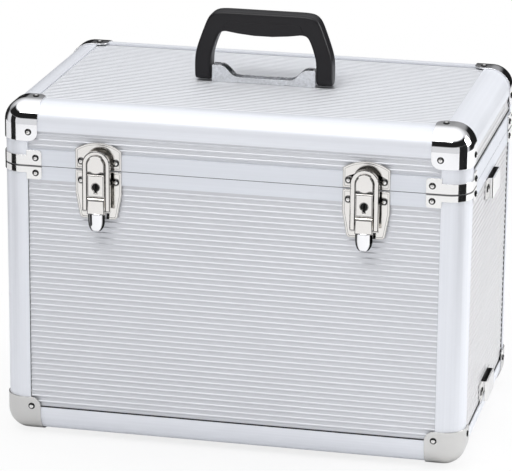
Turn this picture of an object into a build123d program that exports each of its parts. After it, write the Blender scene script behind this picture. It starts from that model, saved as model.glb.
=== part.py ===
from build123d import *
import os

# Aluminium pump case: a ribbed box with a hinged lid, two draw latches and a folding handle.
# X runs to the right, Y to the back and Z up. The origin is under the middle of the case.

# The box
case_width = 450.0
case_depth = 280.0
body_height = 330.0
lid_height = 60.0
foot_proud = 4.0

# Edge extrusions and the boards that slide into them
edge_radius = 20.0
edge_flange = 26.0
edge_wall = 7.4
edge_skin = 1.8
slot_start = 15.0
slot_gap = 0.1
board_thickness = 4.0
board_end_gap = 0.5

# Raised ribs of the boards
rib_pitch = 5.5
rib_half_width = 1.3
rib_height = 0.7
rib_root = 0.5
rib_edge_gap = 0.3

# Rims on both sides of the seam
seam_gap = 0.6
base_rim_height = 13.5
lid_rim_height = 16.0
rim_crown = 3.0
tongue_height = 4.0
tongue_thickness = 2.4
tongue_gap = 0.4
rim_end_gap = 0.1

# Corner caps and seam brackets
cap_thickness = 1.2
cap_gap = 0.1
cap_reach = 36.0
cap_corner_radius = 9.0
cap_rivet_inset = 27.0
bracket_reach = 40.0
bracket_rivet_inset = 34.0
bracket_end_radius = 3.0
bracket_seam_gap = 0.1
bracket_notch_reach = 25.0
upper_band_height = 10.0
upper_leg_height = 15.0
lower_band_height = 6.5
lower_leg_height = 12.7

# Rivets
rivet_radius = 1.6
rivet_head_radius = 3.3
rivet_head_height = 1.6
rivet_length = 6.5
rivet_gap = 0.05

# Latches: plates
latch_spacing = 258.0
latch_width = 45.0
latch_sheet = 1.2
latch_seam_gap = 0.8
latch_rivet_spacing = 34.0
catch_height = 27.0
catch_shoulder = 20.0
catch_rivet_height = 8.2
latch_plate_drop = 47.5
latch_plate_taper = 23.0
latch_plate_end_width = 36.0
latch_plate_corner = 4.0
latch_plate_rivet_drop = 10.5

# Latches: bail, lever and hook
bail_inner_radius = 8.75
bail_bar = 4.85
bail_depth = 3.0
bail_arch_height = 7.6
bail_stand_off = 9.0
bail_pin_radius = 0.9
bail_pin_drop = 37.5
pin_gap = 0.05
lever_pin_radius = 1.2
lever_pin_drop = 27.5
lever_nose = 3.4
lever_half_width = 7.9
lever_face_drop = 40.7
lever_flare = 8.5
lever_back = 5.0
tongue_tip_drop = 57.0
tongue_half_width = 8.4
tongue_sheet = 1.5
tongue_root = 0.25
tongue_lift = 1.5
ear_gap = 0.2
ear_radius = 2.0
ear_drop = 0.5
ear_arm = 4.0
lever_wall_foot = 2.5
hook_gap = 0.35
hook_lip_gap = 0.6
hook_lip_rise = 1.5
hook_lip_half_width = 6.0

# Latches: lock
lock_half_width = 8.4
lock_top_drop = 1.6
lock_bottom_drop = 23.7
lock_proud = 12.0
lock_edge_radius = 1.0
keyhole_drop = 13.6
keyhole_radius = 3.6
keyhole_slot = 2.2
keyhole_slot_drop = 19.5
barrel_radius = 5.0
barrel_gap = 0.5
keyway_width = 1.6
keyway_depth = 4.0
cam_reach = 6.8
cam_width = 4.0
cam_thickness = 2.0
cam_lift = 2.0
stud_radius = 1.5
stud_height = 4.0

# Rear hinges
hinge_spacing = 260.0
hinge_width = 50.0
hinge_leaf = 1.5
hinge_knuckles = 5
hinge_knuckle_radius = 3.5
hinge_axis_out = 4.0
hinge_pin_radius = 1.5
hinge_knuckle_gap = 0.2
hinge_swing_gap = 0.3
hinge_upper_height = 24.0
hinge_lower_height = 32.0
hinge_rivet_spacing = 32.0
hinge_rivet_height = 11.5
hinge_low_rivet_height = 25.0

# Handle
handle_half_width = 68.5
handle_leg_width = 16.3
handle_shoulder_half_width = 50.5
handle_leg_rise = 24.0
handle_leg_bulge = 1.5
handle_height = 70.0
handle_bar = 19.0
handle_belly = 4.5
handle_depth = 19.0
handle_shoulder_radius = 12.0
handle_knee_radius = 30.0
handle_clearance = 1.2
handle_side_gap = 0.8
handle_pin_radius = 3.0
handle_pin_reach = 3.5
handle_pin_seat = 10.0
bracket_depth = 13.0
bracket_sheet = 1.5
bracket_ear_height = 16.5
bracket_low_height = 5.5
bracket_ear_length = 7.0
bracket_slope_length = 20.0
bracket_rivet_spacing = 70.0

# Strap loops on the sides
loop_width = 60.0
loop_foot = 8.0
loop_height = 20.0
loop_proud = 7.0
loop_sheet = 1.5
loop_edge_gap = 1.5
loop_rivet_inset = 4.0
loop_corner_radius = 2.5

# Feet and lining
foot_radius = 11.0
foot_inset_x = 55.0
foot_inset_y = 50.0
foot_chamfer = 1.0
lining_thickness = 3.0
floor_thickness = 5.0
lining_gap = 0.1
lining_corner_radius = 10.0
lining_top_drop = 2.0

# Levels and places that follow from the sizes above
half_width = case_width / 2
half_depth = case_depth / 2
bottom = foot_proud
top = foot_proud + body_height
seam = top - lid_height
base_top = seam - seam_gap / 2
lid_bottom = seam + seam_gap / 2
slot_width = board_thickness + 2 * slot_gap
board_recess = edge_skin + slot_gap
rib_recess = board_recess - rib_height
board_inset = slot_start + board_end_gap
cap_proud = cap_gap + cap_thickness
lining_recess = edge_wall + lining_gap
tongue_recess = edge_wall - tongue_thickness
diagonal = 0.5**0.5

faces = {
    "front": Plane(origin=(0, -half_depth, 0), x_dir=(1, 0, 0), z_dir=(0, -1, 0)),
    "back": Plane(origin=(0, half_depth, 0), x_dir=(-1, 0, 0), z_dir=(0, 1, 0)),
    "left": Plane(origin=(-half_width, 0, 0), x_dir=(0, -1, 0), z_dir=(-1, 0, 0)),
    "right": Plane(origin=(half_width, 0, 0), x_dir=(0, 1, 0), z_dir=(1, 0, 0)),
    "top": Plane(origin=(0, 0, top), x_dir=(1, 0, 0), z_dir=(0, 0, 1)),
    "bottom": Plane(origin=(0, 0, bottom), x_dir=(1, 0, 0), z_dir=(0, 0, -1)),
}
half_spans = {"front": half_width, "back": half_width, "left": half_depth, "right": half_depth}
corner_names = {
    (-1, -1): "front_left",
    (1, -1): "front_right",
    (-1, 1): "back_left",
    (1, 1): "back_right",
}
latch_middles = {"left": -latch_spacing / 2, "right": latch_spacing / 2}
hinge_middles = (-hinge_spacing / 2, hinge_spacing / 2)
loop_levels = {
    "upper": base_top - base_rim_height - loop_edge_gap - loop_height / 2,
    "lower": bottom + edge_flange + loop_edge_gap + loop_height / 2,
}

os.makedirs("parts", exist_ok=True)


def finish(piece, name):
    """Label a finished piece and write it to its own file."""
    piece.part.label = name
    export_step(piece.part, f"parts/{name}.step")


def spot(face, across, up, out):
    """A plane parallel to a face of the box, moved across, up and outwards from it."""
    frame = faces[face]
    origin = frame.from_local_coords((across, up, out))
    return Plane(origin=origin, x_dir=frame.x_dir, z_dir=frame.z_dir)


def side_section(face, across=0.0):
    """A plane that cuts a face square to its width: its x runs up the face and its y outwards."""
    frame = faces[face]
    origin = frame.from_local_coords((across, 0, 0))
    return Plane(origin=origin, x_dir=frame.y_dir, z_dir=frame.x_dir)


# Rivet places, each a plane on the outer skin of what the rivet holds
def corner_rivets(level, face):
    """The rivets of the four corner caps at one end of the box, on its sides and its flat end."""
    places = []
    for name, half in half_spans.items():
        for end in (-1, 1):
            places.append(spot(name, end * (half - cap_rivet_inset), level, cap_proud))
    for x, y in corner_names:
        across = x * (half_width - cap_rivet_inset)
        up = y * (half_depth - cap_rivet_inset)
        places.append(spot(face, across, up, cap_proud))
    return places


def row_rivets(level):
    """The rivets of the seam brackets, one near both ends of each upright face."""
    places = []
    for name, half in half_spans.items():
        for end in (-1, 1):
            places.append(spot(name, end * (half - bracket_rivet_inset), level, cap_proud))
    return places


def pair_rivets(face, middle, spacing, level, out):
    """Two rivets side by side."""
    return [spot(face, middle + end * spacing / 2, level, out) for end in (-1, 1)]


base_rivet_places = corner_rivets(bottom + cap_rivet_inset, "bottom")
base_rivet_places += row_rivets(seam - base_rim_height / 2)
lid_rivet_places = corner_rivets(top - cap_rivet_inset, "top")
lid_rivet_places += row_rivets(seam + lid_rim_height / 2)
for middle in latch_middles.values():
    level = seam - latch_plate_rivet_drop
    base_rivet_places += pair_rivets("front", middle, latch_rivet_spacing, level, latch_sheet)
    level = seam + catch_rivet_height
    lid_rivet_places += pair_rivets("front", middle, latch_rivet_spacing, level, latch_sheet)
for middle in hinge_middles:
    for drop in (hinge_rivet_height, hinge_low_rivet_height):
        base_rivet_places += pair_rivets("back", middle, hinge_rivet_spacing, seam - drop, hinge_leaf)
    level = seam + hinge_rivet_height
    lid_rivet_places += pair_rivets("back", middle, hinge_rivet_spacing, level, hinge_leaf)
for side in ("left", "right"):
    for level in loop_levels.values():
        spacing = loop_width - 2 * loop_rivet_inset
        base_rivet_places += pair_rivets(side, 0, spacing, level, loop_sheet - rib_recess)
lid_rivet_places += pair_rivets("top", 0, bracket_rivet_spacing, 0, bracket_sheet - rib_recess)


def drill(piece, places):
    """Cut the rivet holes that pass through a piece, for the BuildPart that is open."""
    box = piece.part.bounding_box()
    reach = rivet_length + rivet_head_height
    near = []
    for place in places:
        point = place.origin
        inside_x = box.min.X - reach < point.X < box.max.X + reach
        inside_y = box.min.Y - reach < point.Y < box.max.Y + reach
        inside_z = box.min.Z - reach < point.Z < box.max.Z + reach
        if inside_x and inside_y and inside_z:
            near.append(place)
    if near:
        with Locations(*near):
            hole_height = 2 * (rivet_length + rivet_gap)
            Cylinder(radius=rivet_radius + rivet_gap, height=hole_height, mode=Mode.SUBTRACT)


def rivet_group(name, places):
    """Dome-headed rivets, all alike, at their places."""
    with BuildPart() as rivet:
        with BuildSketch(Plane.XZ):
            with BuildLine():
                Polyline(
                    (0, rivet_head_height),
                    (0, -rivet_length),
                    (rivet_radius, -rivet_length),
                    (rivet_radius, 0),
                    (rivet_head_radius, 0),
                )
                TangentArc((0, rivet_head_height), (rivet_head_radius, 0), tangent=(1, 0))
            make_face()
        revolve(axis=Axis.Z)
    with BuildPart() as group:
        with Locations(*places):
            add(rivet.part)
    finish(group, name)


rivet_group("base_rivets", base_rivet_places)
rivet_group("lid_rivets", lid_rivet_places)


# Edge extrusions
def edge_section(plane):
    """The section of an edge extrusion: a rounded angle with a slot for a board in each leg."""
    near = edge_radius * (1 - diagonal)
    slot_length = edge_flange - slot_start
    low = (Align.MIN, Align.MIN)
    with BuildSketch(plane) as section:
        with BuildLine():
            Line((edge_flange, 0), (edge_radius, 0))
            ThreePointArc((edge_radius, 0), (near, near), (0, edge_radius))
            Polyline(
                (0, edge_radius),
                (0, edge_flange),
                (edge_wall, edge_flange),
                (edge_wall, edge_wall),
                (edge_flange, edge_wall),
                (edge_flange, 0),
            )
        make_face()
        with Locations((slot_start, edge_skin)):
            Rectangle(slot_length, slot_width, align=low, mode=Mode.SUBTRACT)
        with Locations((edge_skin, slot_start)):
            Rectangle(slot_width, slot_length, align=low, mode=Mode.SUBTRACT)
    return section.sketch


def mitre(corner, inward_run, inward_sides):
    """Cut one end of the open edge extrusion along both its mitre planes."""
    for inward in inward_sides:
        split(bisect_by=Plane(origin=corner, z_dir=inward_run - inward), keep=Keep.TOP)


def edge_rail(name, face, level, up, places):
    """A straight edge of the box at one end of its height, mitred at both its own ends."""
    outward = faces[face].z_dir
    inward = outward * -1
    run = faces[face].x_dir
    half_length = half_spans[face]
    distance = half_depth if face in ("front", "back") else half_width
    corner = outward * distance + Vector(0, 0, level)
    section = edge_section(Plane(origin=corner, x_dir=inward, z_dir=inward.cross(up)))
    with BuildPart() as rail:
        extrude(section, amount=half_length - edge_radius, both=True)
        for end in (-1, 1):
            mitre(corner + run * (end * half_length), run * -end, (inward, up))
        drill(rail, places)
    finish(rail, name)


for face in half_spans:
    edge_rail(f"base_bottom_{face}_rail", face, bottom, Vector(0, 0, 1), base_rivet_places)
    edge_rail(f"lid_top_{face}_rail", face, top, Vector(0, 0, -1), lid_rivet_places)


def corner_post(x, y, low, high, mitre_level, run):
    """One upright edge between two levels, mitred where it meets the rails."""
    corner = Vector(x * half_width, y * half_depth, mitre_level)
    inward_x = Vector(-x, 0, 0)
    inward_y = Vector(0, -y, 0)
    middle = Vector(corner.X, corner.Y, (low + high) / 2)
    section = edge_section(Plane(origin=middle, x_dir=inward_x, z_dir=inward_x.cross(inward_y)))
    with BuildPart() as post:
        extrude(section, amount=(high - low) / 2, both=True)
        mitre(corner, run, (inward_x, inward_y))
    return post.part


def corner_posts(name, low, high, mitre_level, run, places):
    """The four upright edges of the base or the lid."""
    pieces = [corner_post(x, y, low, high, mitre_level, run) for x, y in corner_names]
    with BuildPart() as posts:
        add(pieces)
        drill(posts, places)
    finish(posts, name)


corner_posts(
    "base_corner_posts", bottom + edge_radius, base_top, bottom, Vector(0, 0, 1), base_rivet_places
)
corner_posts(
    "lid_corner_posts", lid_bottom, top - edge_radius, top, Vector(0, 0, -1), lid_rivet_places
)


# Boards with raised ribs
def rib_comb(face, low, high):
    """The section of the raised ribs on a board's outer side, between two levels up the face."""
    count = int((high - low) // rib_pitch)
    first = (low + high) / 2 - rib_pitch * (count - 1) / 2
    skin = -board_recess
    with BuildSketch(side_section(face)) as comb:
        with BuildLine():
            here = (low, skin)
            Line((low, skin - rib_root), here)
            for index in range(count):
                middle = first + rib_pitch * index
                near = (middle - rib_half_width, skin)
                far = (middle + rib_half_width, skin)
                Line(here, near)
                ThreePointArc(near, (middle, skin + rib_height), far)
                here = far
            Polyline(here, (high, skin), (high, skin - rib_root), (low, skin - rib_root))
        make_face()
    return comb.sketch


def upright_board(name, face, low, high, rib_low, rib_high, places):
    """A wall board with its ribs, between two levels."""
    half = half_spans[face]
    with BuildPart() as board:
        with BuildSketch(spot(face, 0, (low + high) / 2, -board_recess - board_thickness)):
            Rectangle(2 * (half - board_inset), high - low)
        extrude(amount=board_thickness)
        half_run = half - edge_flange - rib_edge_gap
        extrude(rib_comb(face, rib_low, rib_high), amount=half_run, both=True)
        drill(board, places)
    finish(board, name)


def flat_board(name, face, ribbed, places):
    """The board of the top or the bottom."""
    with BuildPart() as board:
        with BuildSketch(spot(face, 0, 0, -board_recess - board_thickness)):
            Rectangle(2 * (half_width - board_inset), 2 * (half_depth - board_inset))
        extrude(amount=board_thickness)
        if ribbed:
            across = half_depth - edge_flange - rib_edge_gap
            half_run = half_width - edge_flange - rib_edge_gap
            extrude(rib_comb(face, -across, across), amount=half_run, both=True)
        drill(board, places)
    finish(board, name)


for face in half_spans:
    upright_board(
        f"base_{face}_panel",
        face,
        bottom + board_inset,
        base_top - rim_crown - board_end_gap,
        bottom + edge_flange + rib_edge_gap,
        seam - base_rim_height - rib_edge_gap,
        base_rivet_places,
    )
    upright_board(
        f"lid_{face}_panel",
        face,
        lid_bottom + tongue_height + rim_crown + board_end_gap,
        top - board_inset,
        seam + lid_rim_height + rib_edge_gap,
        top - edge_flange - rib_edge_gap,
        lid_rivet_places,
    )
flat_board("base_bottom_panel", "bottom", False, base_rivet_places)
flat_board("lid_top_panel", "top", True, lid_rivet_places)


# Rims beside the seam: the base's has a tongue that stands inside the lid's
def base_rim_section():
    upper = (Align.MAX, Align.MAX)
    with Locations((base_top, 0)):
        Rectangle(base_rim_height - seam_gap / 2, edge_wall, align=upper)
    with Locations((base_top - rim_crown, -edge_skin)):
        Rectangle(base_rim_height, slot_width, align=upper, mode=Mode.SUBTRACT)
    with Locations((base_top, -tongue_recess)):
        Rectangle(tongue_height + seam_gap / 2, tongue_thickness, align=(Align.MIN, Align.MAX))


def lid_rim_section():
    lower = (Align.MIN, Align.MAX)
    with Locations((lid_bottom, 0)):
        Rectangle(lid_rim_height - seam_gap / 2, edge_wall, align=lower)
    with Locations((lid_bottom + tongue_height + rim_crown, -edge_skin)):
        Rectangle(lid_rim_height, slot_width, align=lower, mode=Mode.SUBTRACT)
    with Locations((lid_bottom, tongue_gap - tongue_recess)):
        Rectangle(tongue_height + tongue_gap, edge_wall, align=lower, mode=Mode.SUBTRACT)


def rim_rails(name, section, places):
    """Four straight rims between the corner posts."""
    with BuildPart() as rims:
        for face, half in half_spans.items():
            with BuildSketch(side_section(face)):
                section()
            extrude(amount=half - edge_flange - rim_end_gap, both=True)
        drill(rims, places)
    finish(rims, name)


rim_rails("base_rim_rails", base_rim_section, base_rivet_places)
rim_rails("lid_rim_rails", lid_rim_section, lid_rivet_places)


# Corner caps: a pressed shell over each corner with a leg on each face
def corner_block(x, y, level, up, low, high, radius):
    """A cube at a corner of the box, from low to high inwards, with its outer edges rounded."""
    size = high - low
    middle = (high + low) / 2
    place = (x * (half_width - middle), y * (half_depth - middle), level + up * middle)
    outer = Vector(x * (half_width - low), y * (half_depth - low), level + up * low)
    with BuildPart() as block:
        with Locations(place):
            Box(size, size, size)
        fillet(block.edges().sort_by_distance(outer)[0:3], radius=radius)
    return block.part


def corner_cap(name, x, y, level, up, places):
    shell = corner_block(x, y, level, up, -cap_proud, cap_reach, edge_radius + cap_proud)
    core = corner_block(x, y, level, up, -cap_gap, 2 * cap_reach, edge_radius + cap_gap)
    inner = Vector(x * (half_width - cap_reach), y * (half_depth - cap_reach), level + up * cap_reach)
    with BuildPart() as cap:
        add(shell)
        fillet(cap.edges().sort_by_distance(inner)[0:3], radius=cap_corner_radius)
        add(core, mode=Mode.SUBTRACT)
        drill(cap, places)
    finish(cap, name)


for (x, y), corner_name in corner_names.items():
    corner_cap(f"lid_cap_{corner_name}", x, y, top, -1, lid_rivet_places)
    corner_cap(f"base_cap_{corner_name}", x, y, bottom, 1, base_rivet_places)


# Seam brackets: a band round each upright corner, with a taller riveted leg on both faces
def corner_column(x, y, low, high, start, height, radius):
    """A square column at an upright corner, from low to high inwards, its outer edge rounded."""
    size = high - low
    middle = (high + low) / 2
    place = (x * (half_width - middle), y * (half_depth - middle), start + height / 2)
    outer = Vector(x * (half_width - low), y * (half_depth - low), start + height / 2)
    with BuildPart() as column:
        with Locations(place):
            Box(size, size, abs(height))
        if radius:
            fillet(column.edges().sort_by_distance(outer)[0], radius=radius)
    return column.part


def seam_bracket(x, y, up, leg_height, band_height):
    start = seam + up * (seam_gap / 2 + bracket_seam_gap)
    height = up * leg_height
    shell = corner_column(x, y, -cap_proud, bracket_reach, start, height, edge_radius + cap_proud)
    core = corner_column(x, y, -cap_gap, 2 * bracket_reach, start, height, edge_radius + cap_gap)
    notch_start = start + up * band_height
    notch = corner_column(x, y, -2 * cap_proud, bracket_notch_reach, notch_start, height, 0)
    end_level = start + height
    skin = (cap_gap + cap_proud) / 2
    ends = (
        Vector(x * (half_width - bracket_reach), y * (half_depth + skin), end_level),
        Vector(x * (half_width + skin), y * (half_depth - bracket_reach), end_level),
    )
    with BuildPart() as bracket:
        add(shell)
        add(core, mode=Mode.SUBTRACT)
        add(notch, mode=Mode.SUBTRACT)
        for end in ends:
            fillet(bracket.edges().sort_by_distance(end)[0], radius=bracket_end_radius)
    return bracket.part


def seam_brackets(name, up, leg_height, band_height, places):
    pieces = [seam_bracket(x, y, up, leg_height, band_height) for x, y in corner_names]
    with BuildPart() as brackets:
        add(pieces)
        drill(brackets, places)
    finish(brackets, name)


seam_brackets("lid_seam_brackets", 1, upper_leg_height, upper_band_height, lid_rivet_places)
seam_brackets("base_seam_brackets", -1, lower_leg_height, lower_band_height, base_rivet_places)


# Draw latches, drawn in a frame on the front whose x runs right, y up from the seam and z outwards
bail_outer_radius = bail_inner_radius + bail_bar
bail_half_depth = bail_depth / 2
lever_face_out = bail_stand_off + lever_nose
lever_face_in = lever_face_out - latch_sheet


def latch_front(middle, out=0.0):
    return spot("front", middle, seam, out)


def latch_side(middle, across=0.0):
    """The latch's side view, with x outwards from the front and y up from the seam."""
    frame = latch_front(middle)
    origin = frame.from_local_coords((across, 0, 0))
    return Plane(origin=origin, x_dir=frame.z_dir, z_dir=frame.x_dir * -1)


def hook_outline(radius):
    """An arched outline that stands on the catch plate's lower edge."""
    with Locations((0, latch_seam_gap)):
        Rectangle(2 * radius, bail_arch_height - latch_seam_gap, align=(Align.CENTER, Align.MIN))
    with Locations((0, bail_arch_height)):
        Circle(radius)


def catch_plate(name, middle):
    """The plate on the lid, with the domed hook that the bail is drawn over."""
    half = latch_width / 2
    hook_radius = bail_inner_radius - hook_gap
    lip_start = bail_stand_off + bail_half_depth + hook_lip_gap
    with BuildPart() as plate:
        with BuildSketch(latch_front(middle)):
            with BuildLine():
                Polyline(
                    (-half, catch_shoulder),
                    (-half, latch_seam_gap),
                    (half, latch_seam_gap),
                    (half, catch_shoulder),
                )
                ThreePointArc((half, catch_shoulder), (0, catch_height), (-half, catch_shoulder))
            make_face()
        extrude(amount=latch_sheet)
        with BuildSketch(latch_front(middle)):
            hook_outline(hook_radius)
        extrude(amount=lip_start)
        with BuildSketch(latch_front(middle, lip_start)):
            with Locations((0, bail_arch_height)):
                Circle(hook_radius + hook_lip_rise)
                Rectangle(2 * hook_lip_half_width, 2 * catch_height, mode=Mode.INTERSECT)
            with Locations((0, latch_seam_gap)):
                Rectangle(latch_width, latch_width, align=(Align.CENTER, Align.MIN), mode=Mode.INTERSECT)
            hook_outline(hook_radius)
        extrude(amount=latch_sheet)
        drill(plate, lid_rivet_places)
    finish(plate, name)


def latch_plate(name, middle):
    """The plate on the base, with two ears for the lever's pin and a stud for the lock's cam."""
    half = latch_width / 2
    end_half = latch_plate_end_width / 2
    ear_middle = lever_half_width - latch_sheet - ear_gap - latch_sheet / 2
    with BuildPart() as plate:
        with BuildSketch(latch_front(middle)) as outline:
            with BuildLine():
                Polyline(
                    (-half, -latch_seam_gap),
                    (half, -latch_seam_gap),
                    (half, -latch_plate_taper),
                    (end_half, -latch_plate_drop),
                    (-end_half, -latch_plate_drop),
                    (-half, -latch_plate_taper),
                    (-half, -latch_seam_gap),
                )
            make_face()
            fillet(outline.vertices().group_by(Axis.Y)[0], radius=latch_plate_corner)
        extrude(amount=latch_sheet)
        for side in (-1, 1):
            with BuildSketch(latch_side(middle, side * ear_middle)):
                with Locations((0, -lever_pin_drop - ear_drop)):
                    Rectangle(bail_stand_off, ear_arm, align=(Align.MIN, Align.MAX))
                with Locations((bail_stand_off, -lever_pin_drop)):
                    Circle(ear_radius)
                    Circle(lever_pin_radius + pin_gap, mode=Mode.SUBTRACT)
            extrude(amount=latch_sheet / 2, both=True)
        with BuildSketch(latch_front(middle, latch_sheet)):
            with Locations((0, -keyhole_drop)):
                Circle(stud_radius)
        extrude(amount=stud_height)
        drill(plate, base_rivet_places)
    finish(plate, name)


def lock_case(name, middle):
    """The fixed lock case with the keyhole in its face."""
    height = lock_bottom_drop - lock_top_drop
    level = -(lock_bottom_drop + lock_top_drop) / 2
    with BuildPart() as case:
        with BuildSketch(latch_front(middle, latch_sheet)):
            with Locations((0, level)):
                Rectangle(2 * lock_half_width, height)
        extrude(amount=lock_proud - latch_sheet)
        fillet(case.faces().sort_by(Axis.Y)[0].edges(), radius=lock_edge_radius)
        with BuildSketch(latch_front(middle, latch_sheet)):
            with Locations((0, level)):
                Rectangle(2 * (lock_half_width - latch_sheet), height - 2 * latch_sheet)
        extrude(amount=lock_proud - 2 * latch_sheet, mode=Mode.SUBTRACT)
        with BuildSketch(latch_front(middle)):
            with Locations((0, -keyhole_drop)):
                slot_length = keyhole_slot_drop - keyhole_drop
                Circle(keyhole_radius)
                Rectangle(keyhole_slot, slot_length, align=(Align.CENTER, Align.MAX))
        extrude(amount=lock_proud, mode=Mode.SUBTRACT)
    finish(case, name)


def lock_cam(name, middle):
    """The barrel that the key turns, with the cam arm that holds the lever shut."""
    start = latch_sheet + cam_lift
    barrel_face = lock_proud - latch_sheet - barrel_gap
    with BuildPart() as cam:
        with BuildSketch(latch_front(middle, start)):
            with Locations((0, -keyhole_drop)):
                Circle(barrel_radius)
        extrude(amount=barrel_face - start)
        with BuildSketch(latch_front(middle, start)):
            with Locations((0, -keyhole_drop)):
                Rectangle(cam_reach, cam_width, align=(Align.MIN, Align.CENTER))
                Circle(cam_reach, mode=Mode.INTERSECT)
        extrude(amount=cam_thickness)
        with BuildSketch(latch_front(middle, start)):
            with Locations((0, -keyhole_drop)):
                Circle(stud_radius + pin_gap)
        extrude(amount=stud_height - cam_lift + pin_gap, mode=Mode.SUBTRACT)
        with BuildSketch(latch_front(middle, barrel_face)):
            with Locations((0, -keyhole_drop)):
                Rectangle(keyway_width, keyhole_radius * 2)
        extrude(amount=-keyway_depth, mode=Mode.SUBTRACT)
    finish(cam, name)


def tongue(middle):
    """The finger tongue under the lever's face: a curled strip with a round end."""
    start = lever_face_in + tongue_root
    start_level = tongue_sheet - lever_face_drop
    waist = start - tongue_sheet
    waist_level = -(lever_face_drop + tongue_tip_drop) / 2
    tip = start + tongue_lift
    with BuildPart() as strip:
        with BuildSketch(latch_side(middle)):
            with BuildLine():
                outer_top = (start, start_level)
                outer_tip = (tip, -tongue_tip_drop)
                inner_tip = (tip - tongue_sheet, -tongue_tip_drop)
                inner_top = (start - tongue_sheet, start_level)
                ThreePointArc(outer_top, (waist, waist_level), outer_tip)
                Line(outer_tip, inner_tip)
                ThreePointArc(inner_tip, (waist - tongue_sheet, waist_level), inner_top)
                Line(inner_top, outer_top)
            make_face()
        extrude(amount=2 * tongue_half_width, both=True)
        with BuildSketch(latch_front(middle)):
            with BuildLine():
                shoulder = tongue_half_width - tongue_tip_drop
                Polyline(
                    (-tongue_half_width, shoulder),
                    (-tongue_half_width, start_level),
                    (tongue_half_width, start_level),
                    (tongue_half_width, shoulder),
                )
                ThreePointArc(
                    (tongue_half_width, shoulder),
                    (0, -tongue_tip_drop),
                    (-tongue_half_width, shoulder),
                )
            make_face()
        extrude(amount=2 * bail_stand_off, mode=Mode.INTERSECT)
    return strip.part


def lever(name, middle):
    """The lever: a folded channel on its pin, with a flared face and a curled finger tongue."""
    finger = tongue(middle)
    back = bail_stand_off - lever_back
    low = -lever_face_drop
    pin = -lever_pin_drop
    hollow = lever_nose - latch_sheet
    roll = (bail_stand_off + lever_nose * diagonal, pin + lever_nose * diagonal)
    hollow_roll = (bail_stand_off + hollow * diagonal, pin + hollow * diagonal)
    wall_foot = (bail_stand_off - lever_wall_foot, -bail_pin_drop - bail_half_depth)
    with BuildPart() as body:
        with BuildSketch(latch_side(middle)):
            with BuildLine():
                Line((lever_face_out, low), (lever_face_out, pin))
                ThreePointArc((lever_face_out, pin), roll, (bail_stand_off, pin + lever_nose))
                Polyline(
                    (bail_stand_off, pin + lever_nose),
                    (back, pin + ear_radius),
                    (back, pin - lever_back),
                    wall_foot,
                    (lever_face_in, low),
                    (lever_face_out, low),
                )
            make_face()
        extrude(amount=lever_half_width, both=True)
        with BuildSketch(latch_side(middle)):
            with BuildLine():
                Line((lever_face_in, low - latch_sheet), (lever_face_in, pin))
                ThreePointArc((lever_face_in, pin), hollow_roll, (bail_stand_off, pin + hollow))
                Polyline(
                    (bail_stand_off, pin + hollow),
                    (bail_stand_off, pin + lever_nose + latch_sheet),
                    (back - latch_sheet, pin + lever_nose + latch_sheet),
                    (back - latch_sheet, low - latch_sheet),
                    (lever_face_in, low - latch_sheet),
                )
            make_face()
        extrude(amount=lever_half_width - latch_sheet, both=True, mode=Mode.SUBTRACT)
        with BuildSketch(latch_front(middle, lever_face_in)):
            with BuildLine():
                Polyline(
                    (-lever_half_width, pin),
                    (lever_half_width, pin),
                    (lever_flare, low),
                    (-lever_flare, low),
                    (-lever_half_width, pin),
                )
            make_face()
        extrude(amount=latch_sheet)
        add(finger)
        for level, radius in ((pin, lever_pin_radius), (-bail_pin_drop, bail_pin_radius)):
            with BuildSketch(latch_side(middle)):
                with Locations((bail_stand_off, level)):
                    Circle(radius + pin_gap)
            extrude(amount=lever_half_width + latch_sheet, both=True, mode=Mode.SUBTRACT)
    finish(body, name)


def bail(name, middle):
    """The arched bail that joins the lever to the hook."""
    arm_end = -bail_pin_drop
    arm_length = bail_pin_drop + bail_arch_height
    arm_middle = (bail_inner_radius + bail_outer_radius) / 2
    with BuildPart() as loop:
        with BuildSketch(latch_front(middle, bail_stand_off - bail_half_depth)):
            for radius, mode in (
                (bail_outer_radius, Mode.ADD),
                (bail_inner_radius, Mode.SUBTRACT),
            ):
                with Locations((0, bail_arch_height)):
                    Circle(radius, mode=mode)
                with Locations((0, arm_end)):
                    Rectangle(2 * radius, arm_length, align=(Align.CENTER, Align.MIN), mode=mode)
        extrude(amount=bail_depth)
        for side in (-1, 1):
            with BuildSketch(latch_side(middle, side * arm_middle)):
                with Locations((bail_stand_off, arm_end)):
                    Circle(bail_half_depth)
            extrude(amount=bail_bar / 2, both=True)
        with BuildSketch(latch_side(middle)):
            with Locations((bail_stand_off, arm_end)):
                Circle(bail_pin_radius + pin_gap)
        extrude(amount=2 * bail_outer_radius, both=True, mode=Mode.SUBTRACT)
    finish(loop, name)


def cross_pin(middle, drop, radius, half_length):
    """A straight pin across a latch."""
    with BuildPart() as pin:
        with BuildSketch(latch_side(middle)):
            with Locations((bail_stand_off, -drop)):
                Circle(radius)
        extrude(amount=half_length, both=True)
    return pin


for side, middle in latch_middles.items():
    catch_plate(f"{side}_catch_plate", middle)
    latch_plate(f"{side}_latch_plate", middle)
    lock_case(f"{side}_lock_case", middle)
    lock_cam(f"{side}_lock_cam", middle)
    lever(f"{side}_lever", middle)
    bail(f"{side}_bail", middle)
    pin_half_length = bail_outer_radius - pin_gap
    finish(cross_pin(middle, bail_pin_drop, bail_pin_radius, pin_half_length), f"{side}_bail_pin")

lever_pin_half_length = lever_half_width - pin_gap
lever_pin_pieces = [
    cross_pin(middle, lever_pin_drop, lever_pin_radius, lever_pin_half_length).part
    for middle in latch_middles.values()
]
with BuildPart() as lever_pins:
    add(lever_pin_pieces)
finish(lever_pins, "lever_pins")


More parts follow.
